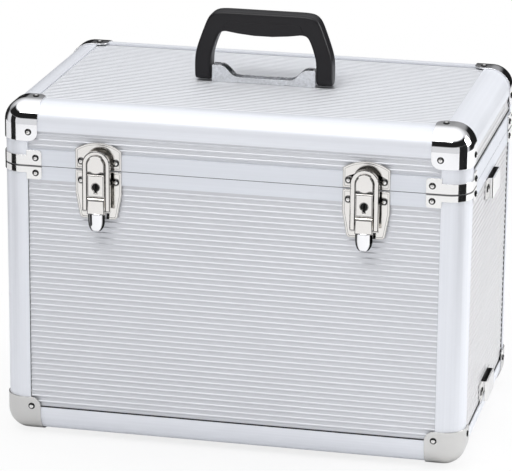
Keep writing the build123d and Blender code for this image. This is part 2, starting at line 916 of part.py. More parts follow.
# Rear hinges: knuckles by turns on the base's leaf and on the lid's, round one pin
def hinge_leaves(name, first_owned, up, height, places):
    """The two leaves on the base or on the lid, each with its own knuckles."""
    pitch = hinge_width / hinge_knuckles
    owned = range(first_owned, hinge_knuckles, 2)
    leaf_height = height - latch_seam_gap
    leaf_level = seam + up * (height + latch_seam_gap) / 2
    with BuildPart() as leaves:
        for middle in hinge_middles:
            with BuildSketch(spot("back", middle, leaf_level, 0)):
                Rectangle(hinge_width, leaf_height)
            extrude(amount=hinge_leaf)
            for index in range(hinge_knuckles):
                place = middle + (index - (hinge_knuckles - 1) / 2) * pitch
                if index in owned:
                    with BuildSketch(side_section("back", place)):
                        with Locations((seam, hinge_axis_out)):
                            Circle(hinge_knuckle_radius)
                        with Locations((seam + up * hinge_knuckle_radius / 2, 0)):
                            Rectangle(
                                hinge_knuckle_radius, hinge_axis_out, align=(Align.CENTER, Align.MIN)
                            )
                        with Locations((seam, hinge_axis_out)):
                            Circle(hinge_pin_radius + pin_gap, mode=Mode.SUBTRACT)
                    extrude(amount=(pitch - hinge_knuckle_gap) / 2, both=True)
                else:
                    with BuildSketch(side_section("back", place)):
                        with Locations((seam, hinge_axis_out)):
                            Circle(hinge_knuckle_radius + hinge_swing_gap)
                    extrude(amount=(pitch + hinge_knuckle_gap) / 2, both=True, mode=Mode.SUBTRACT)
        drill(leaves, places)
    finish(leaves, name)


hinge_leaves("base_hinge_leaves", 0, -1, hinge_lower_height, base_rivet_places)
hinge_leaves("lid_hinge_leaves", 1, 1, hinge_upper_height, lid_rivet_places)

with BuildPart() as hinge_pins:
    for middle in hinge_middles:
        with BuildSketch(side_section("back", middle)):
            with Locations((seam, hinge_axis_out)):
                Circle(hinge_pin_radius)
        extrude(amount=hinge_width / 2, both=True)
finish(hinge_pins, "hinge_pins")


# Handle: a moulded grip on two pins that turn in the end walls of a pressed bracket
lid_skin = top - rib_recess
handle_pivot = lid_skin + handle_clearance + handle_depth / 2
handle_bottom = handle_pivot - handle_depth / 2
handle_top = handle_bottom + handle_height
handle_inner_half = handle_half_width - handle_leg_width
bracket_half_length = handle_inner_half - handle_side_gap
front_view = Plane(origin=(0, 0, 0), x_dir=(1, 0, 0), z_dir=(0, -1, 0))
side_view = Plane(origin=(0, 0, 0), x_dir=(0, 1, 0), z_dir=(1, 0, 0))

with BuildPart() as grip:
    knee = handle_bottom + handle_leg_rise
    bar_low = handle_top - handle_bar
    inner_top = handle_shoulder_half_width - handle_leg_width / 2
    bulge = (handle_inner_half + inner_top) / 2 + handle_leg_bulge
    bulge_level = (knee + bar_low) / 2
    with BuildSketch(front_view) as outline:
        with BuildLine():
            Polyline(
                (-handle_inner_half, knee),
                (-handle_inner_half, handle_bottom),
                (-handle_half_width, handle_bottom),
                (-handle_half_width, knee),
                (-handle_shoulder_half_width, handle_top),
                (handle_shoulder_half_width, handle_top),
                (handle_half_width, knee),
                (handle_half_width, handle_bottom),
                (handle_inner_half, handle_bottom),
                (handle_inner_half, knee),
            )
            ThreePointArc((handle_inner_half, knee), (bulge, bulge_level), (inner_top, bar_low))
            ThreePointArc((inner_top, bar_low), (0, bar_low - handle_belly), (-inner_top, bar_low))
            ThreePointArc((-inner_top, bar_low), (-bulge, bulge_level), (-handle_inner_half, knee))
        make_face()
        fillet(outline.vertices().group_by(Axis.Y)[-1], radius=handle_shoulder_radius)
        knee_points = [
            vertex
            for vertex in outline.vertices()
            if abs(vertex.Y - knee) < pin_gap and abs(vertex.X) > handle_inner_half + pin_gap
        ]
        fillet(knee_points, radius=handle_knee_radius)
    extrude(amount=handle_depth / 2, both=True)
    with BuildSketch(side_view):
        with Locations((0, handle_pivot)):
            Circle(handle_depth / 2)
            Rectangle(handle_depth, handle_height, align=(Align.CENTER, Align.MIN))
    extrude(amount=case_width / 2, both=True, mode=Mode.INTERSECT)
    with BuildSketch(side_view):
        with Locations((0, handle_pivot)):
            Circle(handle_pin_radius + pin_gap)
    extrude(amount=handle_inner_half + handle_pin_seat, both=True, mode=Mode.SUBTRACT)
finish(grip, "handle_grip")

handle_pin_start = bracket_half_length - bracket_sheet - handle_pin_reach
handle_pin_end = handle_inner_half + handle_pin_seat - pin_gap
with BuildPart() as handle_pins:
    for side in (-1, 1):
        middle = side * (handle_pin_start + handle_pin_end) / 2
        with BuildSketch(side_view.offset(middle)):
            with Locations((0, handle_pivot)):
                Circle(handle_pin_radius)
        extrude(amount=(handle_pin_end - handle_pin_start) / 2, both=True)
finish(handle_pins, "handle_pins")

with BuildPart() as handle_bracket:
    with BuildSketch(front_view):
        ear_top = lid_skin + bracket_ear_height
        low_top = lid_skin + bracket_low_height
        ear_end = bracket_half_length - bracket_ear_length
        slope_end = ear_end - bracket_slope_length
        slope_middle = (ear_end + slope_end) / 2
        with BuildLine():
            Polyline(
                (-ear_end, ear_top),
                (-bracket_half_length, ear_top),
                (-bracket_half_length, lid_skin),
                (bracket_half_length, lid_skin),
                (bracket_half_length, ear_top),
                (ear_end, ear_top),
            )
            Bezier((ear_end, ear_top), (slope_middle, ear_top), (slope_middle, low_top), (slope_end, low_top))
            Line((slope_end, low_top), (-slope_end, low_top))
            Bezier(
                (-slope_end, low_top), (-slope_middle, low_top), (-slope_middle, ear_top), (-ear_end, ear_top)
            )
        make_face()
    extrude(amount=bracket_depth / 2, both=True)
    with BuildSketch(Plane.XY.offset(lid_skin + bracket_sheet)):
        Rectangle(2 * (bracket_half_length - bracket_sheet), bracket_depth - 2 * bracket_sheet)
    extrude(amount=bracket_ear_height, mode=Mode.SUBTRACT)
    with BuildSketch(side_view):
        with Locations((0, handle_pivot)):
            Circle(handle_pin_radius + pin_gap)
    extrude(amount=handle_half_width, both=True, mode=Mode.SUBTRACT)
    drill(handle_bracket, lid_rivet_places)
finish(handle_bracket, "handle_bracket")


# Strap loops: bridges of sheet, two on each side of the base, open at the top and the bottom
def strap_loop(side, level):
    frame = faces[side]
    origin = frame.from_local_coords((0, level, -rib_recess))
    plan = Plane(origin=origin, x_dir=frame.x_dir, z_dir=frame.y_dir * -1)
    bridge = loop_width - 2 * loop_foot
    base_align = (Align.CENTER, Align.MIN)
    with BuildPart() as loop:
        with BuildSketch(plan) as outline:
            Rectangle(bridge, loop_proud, align=base_align)
            fillet(outline.vertices().group_by(Axis.Y)[-1], radius=loop_corner_radius)
            Rectangle(loop_width, loop_sheet, align=base_align)
            inner = bridge - 2 * loop_sheet
            Rectangle(inner, loop_proud - loop_sheet, align=base_align, mode=Mode.SUBTRACT)
        extrude(amount=loop_height / 2, both=True)
    return loop.part


loop_pieces = [strap_loop(side, level) for side in ("left", "right") for level in loop_levels.values()]
with BuildPart() as strap_loops:
    add(loop_pieces)
    drill(strap_loops, base_rivet_places)
finish(strap_loops, "strap_loops")

# Feet: rubber discs under the bottom board, inboard of the edges
with BuildPart() as feet:
    with BuildSketch(Plane.XY):
        with GridLocations(case_width - 2 * foot_inset_x, case_depth - 2 * foot_inset_y, 2, 2):
            Circle(foot_radius)
    extrude(amount=bottom + board_recess)
    chamfer(feet.faces().sort_by(Axis.Z)[0:4].edges(), length=foot_chamfer)
finish(feet, "rubber_feet")


# Lining: soft sheets inside the walls, the floor and the lid
def lining(name, sheet_low, sheet_high, wall_low, wall_high):
    """One flat sheet across the base's floor or the lid's top, and four wall sheets."""
    width = 2 * (half_width - lining_recess)
    depth = 2 * (half_depth - lining_recess)
    inner_depth = depth - 2 * (lining_thickness + lining_gap)
    with BuildPart() as sheets:
        with BuildSketch(Plane.XY.offset(sheet_low)):
            RectangleRounded(width, depth, lining_corner_radius)
        extrude(amount=sheet_high - sheet_low)
        with BuildSketch(Plane.XY.offset(wall_low)):
            with GridLocations(0, depth - lining_thickness, 1, 2):
                Rectangle(width, lining_thickness)
            with GridLocations(width - lining_thickness, 0, 2, 1):
                Rectangle(lining_thickness, inner_depth)
        extrude(amount=wall_high - wall_low)
    finish(sheets, name)


floor_low = bottom + lining_recess
floor_high = floor_low + floor_thickness
lining(
    "base_lining", floor_low, floor_high, floor_high + lining_gap, base_top - lining_top_drop
)
ceiling_high = top - lining_recess
ceiling_low = ceiling_high - lining_thickness
lining(
    "lid_lining", ceiling_low, ceiling_high, seam + tongue_height + 2 * tongue_gap, ceiling_low - lining_gap
)
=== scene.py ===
# %% [markdown]
# # An aluminium pump case
# This lesson dresses a rigid carrying case: ribbed aluminium boards between rounded edge
# extrusions, bright corner caps, two draw latches and a dark moulded handle.
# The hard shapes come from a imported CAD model, which is loaded as a frame that never moves.
# We give each of its pieces a finish, and model again those that need softer shapes.

import math

import bmesh
import bpy
from mathutils import Matrix, Vector


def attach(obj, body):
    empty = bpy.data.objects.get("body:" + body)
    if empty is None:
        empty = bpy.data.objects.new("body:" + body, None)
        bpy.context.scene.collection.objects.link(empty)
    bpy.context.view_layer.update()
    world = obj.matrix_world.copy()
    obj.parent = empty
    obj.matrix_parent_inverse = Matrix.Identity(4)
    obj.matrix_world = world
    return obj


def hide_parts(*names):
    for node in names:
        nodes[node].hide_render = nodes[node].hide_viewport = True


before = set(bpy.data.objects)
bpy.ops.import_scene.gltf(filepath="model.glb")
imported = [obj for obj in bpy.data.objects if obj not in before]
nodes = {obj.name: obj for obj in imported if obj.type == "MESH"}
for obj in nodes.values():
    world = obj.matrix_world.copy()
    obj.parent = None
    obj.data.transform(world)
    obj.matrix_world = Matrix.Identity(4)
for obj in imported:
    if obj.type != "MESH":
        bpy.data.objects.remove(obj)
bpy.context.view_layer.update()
mm = 0.001

# %% [markdown]
# ## Camera
# The case is seen from the front, a little from its right and from above, with a long lens.
# A long lens keeps the upright edges nearly parallel, as in a catalogue picture.
# The place and the lens were worked out from the corners of the box in the picture.

# %% Camera
lens = bpy.data.cameras.new("catalogue_lens")
lens.lens = 222.0
lens.sensor_width = 36
lens.clip_end = 50
camera = bpy.data.objects.new("catalogue_camera", lens)
camera.location = (0.648, -2.910, 1.096)
camera.rotation_euler = (math.radians(72.873), math.radians(-0.477), math.radians(12.841))
bpy.context.scene.collection.objects.link(camera)
bpy.context.scene.camera = camera
print("camera at", tuple(camera.location))

# %% [markdown]
# ## Studio
# Polished metal has no look of its own: it shows what stands round it.
# In a catalogue studio a large soft light hangs above, the table and the backdrop are white, and
# the room behind the camera is dark. That dark room draws the black bands on polished corners.
# So the world is two gradients by height, one for the front and sides and one for the back, mixed
# by the direction's Y. The camera itself sees plain white.

# %% World
bpy.context.scene.view_settings.view_transform = "Standard"
world = bpy.data.worlds.new("studio_room")
bpy.context.scene.world = world
world.use_nodes = True
tree = world.node_tree
tree.nodes.clear()
direction = tree.nodes.new("ShaderNodeTexCoord")
split = tree.nodes.new("ShaderNodeSeparateXYZ")
height_shift = tree.nodes.new("ShaderNodeMath")
height_shift.operation = "MULTIPLY_ADD"
height_shift.inputs[1].default_value = 0.5
height_shift.inputs[2].default_value = 0.5
tree.links.new(direction.outputs["Generated"], split.inputs[0])
tree.links.new(split.outputs["Z"], height_shift.inputs[0])


def sky_ramp(colours):
    """A gradient from straight down, 0, to straight up, 1."""
    ramp = tree.nodes.new("ShaderNodeValToRGB")
    stops = ramp.color_ramp.elements
    for index, (place, light) in enumerate(colours):
        stop = stops[index] if index < 2 else stops.new(place)
        stop.position = place
        stop.color = (light, light * 1.005, light * 1.03, 1)
    tree.links.new(height_shift.outputs[0], ramp.inputs[0])
    return ramp.outputs["Color"]


low_light = 0.70
dark_room = 0.015
ceiling = 1.3
front_sky = sky_ramp(
    (
        (0.0, low_light), (0.62, 0.74), (0.645, dark_room), (0.84, dark_room), (0.88, 1.2),
        (1.0, ceiling),
    )
)
back_sky = sky_ramp(
    (
        (0.0, low_light), (0.39, low_light), (0.41, dark_room), (0.605, dark_room),
        (0.635, 0.33), (0.72, 0.46), (0.88, 1.0), (1.0, ceiling),
    )
)
turn_back = tree.nodes.new("ShaderNodeMapRange")
turn_back.inputs["From Min"].default_value = 0.12
turn_back.inputs["From Max"].default_value = 0.40
both = tree.nodes.new("ShaderNodeMix")
both.data_type = "RGBA"
room = tree.nodes.new("ShaderNodeBackground")
plain = tree.nodes.new("ShaderNodeBackground")
plain.inputs["Color"].default_value = (1, 1, 1, 1)
seen = tree.nodes.new("ShaderNodeLightPath")
either = tree.nodes.new("ShaderNodeMixShader")
world_out = tree.nodes.new("ShaderNodeOutputWorld")
tree.links.new(split.outputs["Y"], turn_back.inputs["Value"])
tree.links.new(turn_back.outputs["Result"], both.inputs["Factor"])
tree.links.new(front_sky, both.inputs["A"])
tree.links.new(back_sky, both.inputs["B"])
tree.links.new(both.outputs["Result"], room.inputs["Color"])
tree.links.new(seen.outputs["Is Camera Ray"], either.inputs[0])
tree.links.new(room.outputs[0], either.inputs[1])
tree.links.new(plain.outputs[0], either.inputs[2])
tree.links.new(either.outputs[0], world_out.inputs["Surface"])

# %% [markdown]
# The floor is a large pale sheet. To the camera it fades to plain white away from the case, so
# that no edge of it shows, and near the case it keeps a little of the soft shadow.

# %% Floor
def from_bmesh(name, bm):
    """Turn a bmesh into an object that sits at the origin."""
    data = bpy.data.meshes.new(name)
    bm.to_mesh(data)
    bm.free()
    made = bpy.data.objects.new(name, data)
    bpy.context.scene.collection.objects.link(made)
    return made


floor_radius = 1.5
bm = bmesh.new()
bmesh.ops.create_circle(bm, cap_ends=True, segments=96, radius=floor_radius)
floor = from_bmesh("studio_floor", bm)
paper = bpy.data.materials.new("floor_paper")
paper.use_nodes = True
tree = paper.node_tree
surface = tree.nodes["Principled BSDF"]
surface.inputs["Base Color"].default_value = (0.88, 0.88, 0.88, 1)
surface.inputs["Roughness"].default_value = 0.9
surface.inputs["Specular IOR Level"].default_value = 0.0
glow = tree.nodes.new("ShaderNodeEmission")
seen = tree.nodes.new("ShaderNodeLightPath")
place = tree.nodes.new("ShaderNodeTexCoord")
distance = tree.nodes.new("ShaderNodeVectorMath")
distance.operation = "LENGTH"
fade = tree.nodes.new("ShaderNodeMapRange")
fade.inputs["From Min"].default_value = 0.15
fade.inputs["From Max"].default_value = 0.45
fade.inputs["To Min"].default_value = 0.80
fade.inputs["To Max"].default_value = 1.0
share = tree.nodes.new("ShaderNodeMath")
share.operation = "MULTIPLY"
blend = tree.nodes.new("ShaderNodeMixShader")
tree.links.new(place.outputs["Object"], distance.inputs[0])
tree.links.new(distance.outputs["Value"], fade.inputs["Value"])
tree.links.new(fade.outputs["Result"], share.inputs[0])
tree.links.new(seen.outputs["Is Camera Ray"], share.inputs[1])
tree.links.new(share.outputs[0], blend.inputs[0])
tree.links.new(surface.outputs[0], blend.inputs[1])
tree.links.new(glow.outputs[0], blend.inputs[2])
tree.links.new(blend.outputs[0], tree.nodes["Material Output"].inputs["Surface"])
floor.data.materials.append(paper)

# %% [markdown]
# Two soft lamps, one above and in front and one at the right, give the boards their gentle light.
# Three dark panels stand at the sides, where only reflections show them.

# %% Lamps and dark panels
def soft_lamp(name, place, target, size, power):
    """A rectangular lamp at a place, turned to a target."""
    data = bpy.data.lights.new(name, "AREA")
    data.shape = "RECTANGLE"
    data.size, data.size_y = size
    data.energy = power
    lamp = bpy.data.objects.new(name, data)
    lamp.location = place
    lamp.rotation_euler = (Vector(target) - Vector(place)).to_track_quat("-Z", "Y").to_euler()
    bpy.context.scene.collection.objects.link(lamp)


soft_lamp("overhead_light", (-0.3, -1.45, 2.2), (0, 0, 0.2), (1.8, 0.9), 20.5)
soft_lamp("right_light", (1.9, 0.6, 1.0), (0.2, 0.0, 0.15), (1.2, 1.0), 20)

black = bpy.data.materials.new("panel_black")
black.use_nodes = True
surface = black.node_tree.nodes["Principled BSDF"]
surface.inputs["Base Color"].default_value = (0.01, 0.01, 0.01, 1)
surface.inputs["Roughness"].default_value = 1.0
panel_level = 0.20
panel_height = 0.50


def dark_panel(name, x, y, width, degrees):
    """An upright dark board beside the case, which only glossy rays see."""
    upright = Matrix.Rotation(math.pi / 2, 3, "X")
    turn = Matrix.Rotation(math.radians(degrees), 3, "Z")
    bm = bmesh.new()
    bmesh.ops.create_grid(bm, x_segments=1, y_segments=1, size=0.5)
    bmesh.ops.scale(bm, vec=(width, panel_height, 1), verts=bm.verts)
    bmesh.ops.rotate(bm, cent=(0, 0, 0), matrix=upright, verts=bm.verts)
    bmesh.ops.rotate(bm, cent=(0, 0, 0), matrix=turn, verts=bm.verts)
    bmesh.ops.translate(bm, vec=(x, y, panel_level), verts=bm.verts)
    panel = from_bmesh(name, bm)
    panel.data.materials.append(black)
    panel.visible_camera = False
    panel.visible_diffuse = False
    panel.visible_shadow = False


dark_panel("right_dark_panel", 0.648, -0.290, 0.40, 70)
dark_panel("left_dark_panel", -0.612, -0.360, 0.25, -61)
dark_panel("far_left_dark_panel", -0.570, 0.350, 0.40, 55)
print("lamps:", len(bpy.data.lights))

# %% [markdown]
# ## Finishes
# Every metal on the case shares three effects: a fine grain left by rolling or brushing, a
# slight unevenness of tone, and faint smudges from hands. Each effect is a node group with named
# inputs, built once and placed in every material with its own values.

# %% A helper for node groups
def shader_group(name, inputs, outputs):
    """An empty shader node group with its sockets, and its input and output nodes."""
    group = bpy.data.node_groups.new(name, "ShaderNodeTree")
    for label, kind, value in inputs:
        socket = group.interface.new_socket(label, in_out="INPUT", socket_type="NodeSocket" + kind)
        socket.default_value = value
    for label, kind in outputs:
        group.interface.new_socket(label, in_out="OUTPUT", socket_type="NodeSocket" + kind)
    entry = group.nodes.new("NodeGroupInput")
    leave = group.nodes.new("NodeGroupOutput")
    return group, entry, leave


def math_node(tree, operation, *values):
    """A maths node with its inputs set or linked, and its output."""
    made = tree.nodes.new("ShaderNodeMath")
    made.operation = operation
    for index, value in enumerate(values):
        if isinstance(value, (int, float)):
            made.inputs[index].default_value = value
        else:
            tree.links.new(value, made.inputs[index])
    return made.outputs[0]


# %% Grain
grain_group, entry, leave = shader_group(
    "Rolled grain",
    [("Place", "Vector", (0, 0, 0)), ("Stretch", "Vector", (1, 1, 1)), ("Scale", "Float", 900.0)],
    [("Grain", "Float")],
)
stretch = grain_group.nodes.new("ShaderNodeVectorMath")
stretch.operation = "MULTIPLY"
speckle = grain_group.nodes.new("ShaderNodeTexNoise")
speckle.inputs["Detail"].default_value = 3.0
speckle.inputs["Roughness"].default_value = 0.6
grain_group.links.new(entry.outputs["Place"], stretch.inputs[0])
grain_group.links.new(entry.outputs["Stretch"], stretch.inputs[1])
grain_group.links.new(stretch.outputs[0], speckle.inputs["Vector"])
grain_group.links.new(entry.outputs["Scale"], speckle.inputs["Scale"])
grain_group.links.new(speckle.outputs[0], leave.inputs["Grain"])

# %% Smudges
smudge_group, entry, leave = shader_group(
    "Hand smudges",
    [("Place", "Vector", (0, 0, 0)), ("Scale", "Float", 18.0), ("Amount", "Float", 0.05)],
    [("Smudge", "Float")],
)
cloud = smudge_group.nodes.new("ShaderNodeTexNoise")
cloud.inputs["Detail"].default_value = 4.0
cloud.inputs["Distortion"].default_value = 0.8
edge = smudge_group.nodes.new("ShaderNodeMapRange")
edge.interpolation_type = "SMOOTHSTEP"
edge.inputs["From Min"].default_value = 0.48
edge.inputs["From Max"].default_value = 0.72
smudge_group.links.new(entry.outputs["Place"], cloud.inputs["Vector"])
smudge_group.links.new(entry.outputs["Scale"], cloud.inputs["Scale"])
smudge_group.links.new(cloud.outputs[0], edge.inputs["Value"])
amount = math_node(smudge_group, "MULTIPLY", edge.outputs["Result"], entry.outputs["Amount"])
smudge_group.links.new(amount, leave.inputs["Smudge"])

# %% Tone
tone_group, entry, leave = shader_group(
    "Uneven tone",
    [
        ("Colour", "Color", (0.8, 0.8, 0.8, 1)),
        ("Grain", "Float", 0.5),
        ("Smudge", "Float", 0.0),
        ("Colour spread", "Float", 0.1),
        ("Roughness", "Float", 0.3),
        ("Roughness spread", "Float", 0.1),
    ],
    [("Colour", "Color"), ("Roughness", "Float")],
)
centred = math_node(tone_group, "SUBTRACT", entry.outputs["Grain"], 0.5)
lift = math_node(tone_group, "MULTIPLY_ADD", centred, entry.outputs["Colour spread"], 1.0)
smudge_shade = math_node(tone_group, "MULTIPLY", entry.outputs["Smudge"], 0.25)
lift = math_node(tone_group, "SUBTRACT", lift, smudge_shade)
tinted = tone_group.nodes.new("ShaderNodeVectorMath")
tinted.operation = "SCALE"
tone_group.links.new(entry.outputs["Colour"], tinted.inputs[0])
tone_group.links.new(lift, tinted.inputs["Scale"])
dulled = math_node(
    tone_group, "MULTIPLY_ADD", centred, entry.outputs["Roughness spread"],
    entry.outputs["Roughness"],
)
dulled = math_node(tone_group, "ADD", dulled, entry.outputs["Smudge"])
tone_group.links.new(tinted.outputs[0], leave.inputs["Colour"])
tone_group.links.new(dulled, leave.inputs["Roughness"])

# %% [markdown]
# A finish joins the groups to one Principled shader. The stretch makes the grain long in the
# direction in which the metal was rolled, and a bump from the same grain catches the light.

# %% The finish helper
def group_node(tree, group, **values):
    """A node group in a material, with its inputs set by name."""
    made = tree.nodes.new("ShaderNodeGroup")
    made.node_tree = group
    for label, value in values.items():
        made.inputs[label.replace("_", " ")].default_value = value
    return made


def finish_of(
    name, colour, roughness, metallic=1.0, stretch=(1, 1, 1), scale=900.0, spread=0.06,
    dullness=0.08, smudge=0.03, bump=0.02, depth=0.05,
):
    """A material with grain, uneven tone and smudges."""
    made = bpy.data.materials.new(name)
    made.use_nodes = True
    made.diffuse_color = (*colour, 1)
    tree = made.node_tree
    surface = tree.nodes["Principled BSDF"]
    surface.inputs["Metallic"].default_value = metallic
    place = tree.nodes.new("ShaderNodeTexCoord").outputs["Object"]
    grain = group_node(tree, grain_group, Stretch=stretch, Scale=scale)
    marks = group_node(tree, smudge_group, Amount=smudge)
    tone = group_node(
        tree, tone_group, Colour=(*colour, 1), Colour_spread=spread, Roughness=roughness,
        Roughness_spread=dullness,
    )
    relief = tree.nodes.new("ShaderNodeBump")
    relief.inputs["Strength"].default_value = bump
    relief.inputs["Distance"].default_value = depth * mm
    tree.links.new(place, grain.inputs["Place"])
    tree.links.new(place, marks.inputs["Place"])
    tree.links.new(grain.outputs["Grain"], tone.inputs["Grain"])
    tree.links.new(marks.outputs["Smudge"], tone.inputs["Smudge"])
    tree.links.new(tone.outputs["Colour"], surface.inputs["Base Color"])
    tree.links.new(tone.outputs["Roughness"], surface.inputs["Roughness"])
    tree.links.new(grain.outputs["Grain"], relief.inputs["Height"])
    tree.links.new(relief.outputs["Normal"], surface.inputs["Normal"])
    return made


# %% [markdown]
# Shade is painted into the edges of pressed and plated parts. A mesh can say where its edges are
# with an attribute for this painted shade, and the finish is painted dark where it is 1. Pieces
# without the attribute give 0, so they get no painted shade.

# %% Painted edge shade
def paint_edge_shade(made, colour, strength=1.0):
    """Mix a finish's colour towards a dark one by the mesh's painted shade attribute."""
    tree = made.node_tree
    surface = tree.nodes["Principled BSDF"]
    painted_shade = tree.nodes.new("ShaderNodeAttribute")
    painted_shade.attribute_name = "painted_shade"
    darkened = tree.nodes.new("ShaderNodeMix")
    darkened.data_type = "RGBA"
    darkened.inputs["B"].default_value = (*colour, 1)
    old = surface.inputs["Base Color"].links[0].from_socket
    factor = math_node(tree, "MULTIPLY", painted_shade.outputs["Fac"], strength)
    tree.links.new(factor, darkened.inputs["Factor"])
    tree.links.new(old, darkened.inputs["A"])
    tree.links.new(darkened.outputs["Result"], surface.inputs["Base Color"])


# %% [markdown]
# Rolled and extruded metal has its fine lines along one axis, so its grain is stretched along it.
# The boards are a little rough, the edges are anodised, and the small parts are plated.

# %% Metals
die_x = (0.003, 1, 1)
die_y = (1, 0.003, 1)
die_z = (1, 1, 0.003)
board_long = finish_of(
    "ribbed_sheet_long", (0.71, 0.72, 0.75), 0.48, stretch=die_x, scale=1200, spread=0.05,
    metallic=0.72, dullness=0.03, smudge=0.02, bump=0.005,
)
# The lid top's copy of the sheet is painted darker than the front's: painted shade.
board_top_shaded = finish_of(
    "ribbed_sheet_top_shaded", (0.62, 0.63, 0.65), 0.44, stretch=die_x, scale=1200, spread=0.05,
    metallic=0.76, dullness=0.03, smudge=0.02, bump=0.005,
)
# The side boards' copy of the sheet is painted lighter than the front's: painted light.
board_side_lit = finish_of(
    "ribbed_sheet_side_lit", (0.80, 0.80, 0.81), 0.40, stretch=die_y, scale=1200, spread=0.04,
    metallic=0.45, dullness=0.03, smudge=0.02, bump=0.005,
)


def anodised(name, colour, stretch):
    """The satin finish of an edge extrusion, with the die's fine lines along it."""
    return finish_of(
        name, colour, 0.46, metallic=0.35, stretch=stretch, scale=420, spread=0.12, bump=0.03
    )


edge_colour = (0.87, 0.89, 0.935)
extrusion_x = anodised("anodised_edge_x", edge_colour, die_x)
# The rim rails' copy of the anodised edge is painted darker than the other edges: painted shade.
extrusion_rim_shaded = anodised("anodised_rim_shaded", (0.80, 0.825, 0.875), die_x)
extrusion_y = anodised("anodised_edge_y", edge_colour, die_y)
extrusion_z = anodised("anodised_edge_z", edge_colour, die_z)
chrome = finish_of(
    "polished_chrome", (0.93, 0.93, 0.94), 0.05, scale=300, spread=0.02, dullness=0.02,
    smudge=0.02, bump=0.004,
)
# Painted dark reflection on the sides of the finger tongues.
paint_edge_shade(chrome, (0.015, 0.015, 0.015))
satin_nickel = finish_of(
    "satin_nickel", (0.66, 0.655, 0.64), 0.24, scale=1200, spread=0.05, bump=0.03
)
bright_nickel = finish_of(
    "bright_nickel", (0.86, 0.855, 0.84), 0.08, scale=600, spread=0.05, dullness=0.04, bump=0.01
)
# Painted shade at the seam edge of the brackets.
paint_edge_shade(bright_nickel, (0.03, 0.03, 0.03), 0.8)
latch_nickel = finish_of(
    "latch_nickel", (0.82, 0.80, 0.77), 0.12, scale=500, spread=0.08, dullness=0.05
)
# Painted shade on the outlines and border rings of the latch parts.
paint_edge_shade(latch_nickel, (0.03, 0.03, 0.03), 0.85)
zinc = finish_of(
    "bright_zinc", (0.76, 0.77, 0.79), 0.20, scale=330, spread=1.0, dullness=0.30, bump=0.25,
    depth=0.2,
)
pin_steel = finish_of("pin_steel", (0.42, 0.42, 0.43), 0.30, scale=900)
# The lock cams are painted near black: painted shade inside the keyholes.
lock_painted_shade = finish_of("lock_inside_painted_shade", (0.012, 0.012, 0.012), 0.60, metallic=0.3, scale=900)
print("materials so far:", len(bpy.data.materials))

# %% [markdown]
# The handle is moulded in black plastic with a fine leather-like grain. Voronoi cells make such
# a grain, and in other sizes they serve for the feet and for the lining's cloth.

# %% Plastic, rubber and cloth
def cell_relief(made, scale, distance, strength):
    """Add a pebbled relief under a finish."""
    tree = made.node_tree
    surface = tree.nodes["Principled BSDF"]
    place = tree.nodes.new("ShaderNodeTexCoord").outputs["Object"]
    cells = tree.nodes.new("ShaderNodeTexVoronoi")
    cells.feature = "SMOOTH_F1"
    cells.inputs["Scale"].default_value = scale
    relief = tree.nodes.new("ShaderNodeBump")
    relief.inputs["Strength"].default_value = strength
    relief.inputs["Distance"].default_value = distance
    tree.links.new(place, cells.inputs["Vector"])
    tree.links.new(cells.outputs["Distance"], relief.inputs["Height"])
    old = surface.inputs["Normal"].links[0].from_socket
    tree.links.new(old, relief.inputs["Normal"])
    tree.links.new(relief.outputs["Normal"], surface.inputs["Normal"])
    return made


moulded = cell_relief(
    finish_of(
        "moulded_plastic", (0.012, 0.011, 0.013), 0.36, metallic=0.0, scale=700, spread=0.3,
        smudge=0.05,
    ),
    1100.0, 0.06 * mm, 0.35,
)
rubber = cell_relief(
    finish_of("foot_rubber", (0.018, 0.018, 0.018), 0.75, metallic=0.0, scale=500, spread=0.3),
    700.0, 0.05 * mm, 0.4,
)
lining_cloth = cell_relief(
    finish_of(
        "lining_cloth", (0.045, 0.047, 0.052), 0.95, metallic=0.0, scale=1500, spread=0.5,
        smudge=0.0,
    ),
    900.0, 0.25 * mm, 0.8,
)
lining_cloth.node_tree.nodes["Principled BSDF"].inputs["Sheen Weight"].default_value = 0.4
moulded.node_tree.nodes["Principled BSDF"].inputs["Specular IOR Level"].default_value = 0.34

# %% [markdown]
# ## Dressing the CAD pieces
# The boards and the extrusions keep their CAD shape, because straight pressed and extruded
# metal has exactly that shape. Each gets the grain that runs along it. The pins and the lock
# cams, which hardly show, keep their shape too; the pins get a plain finish, and the lock cams
# are painted near black, as painted shade inside the keyholes.

# %% Boards and extrusions
def dress(node, material):
    """Give a CAD piece its finish."""
    data = nodes[node].data
    data.materials.clear()
    data.materials.append(material)


for half in ("base", "lid"):
    for face in ("front", "back"):
        dress(f"{half}_{face}_panel", board_long)
    for face in ("left", "right"):
        dress(f"{half}_{face}_panel", board_side_lit)
    dress(f"{half}_corner_posts", extrusion_z)
    # The rim rails get the copy with painted shade.
    dress(f"{half}_rim_rails", extrusion_rim_shaded)
dress("lid_top_panel", board_top_shaded)
dress("base_bottom_panel", board_long)
for material, faces in ((extrusion_x, ("front", "back")), (extrusion_y, ("left", "right"))):
    for face in faces:
        dress(f"base_bottom_{face}_rail", material)
        dress(f"lid_top_{face}_rail", material)
for node in ("lever_pins", "hinge_pins", "handle_pins", "left_bail_pin", "right_bail_pin"):
    dress(node, pin_steel)
# The lock cams get the near-black finish of painted shade.
for node in ("left_lock_cam", "right_lock_cam"):
    dress(node, lock_painted_shade)

# %% [markdown]
# ## Pressed metal with soft edges
# Pressed sheet never has a knife edge: each fold and cut edge catches a thin line of light.
# The sharp CAD shapes are copied, their loose triangles merged and the flat areas cleaned up.
# Then the sharp edges are bevelled, and the Weighted Normal modifier lets each large flat face
# keep its own flat shading, so that only the narrow bevels turn the light.

# %% Rounded copies
weld = 0.000002
flat_angle = math.radians(0.8)
sharp_angle = math.radians(28)
front_facing = -0.98
plate_front = 141.2
level_slack = 0.05


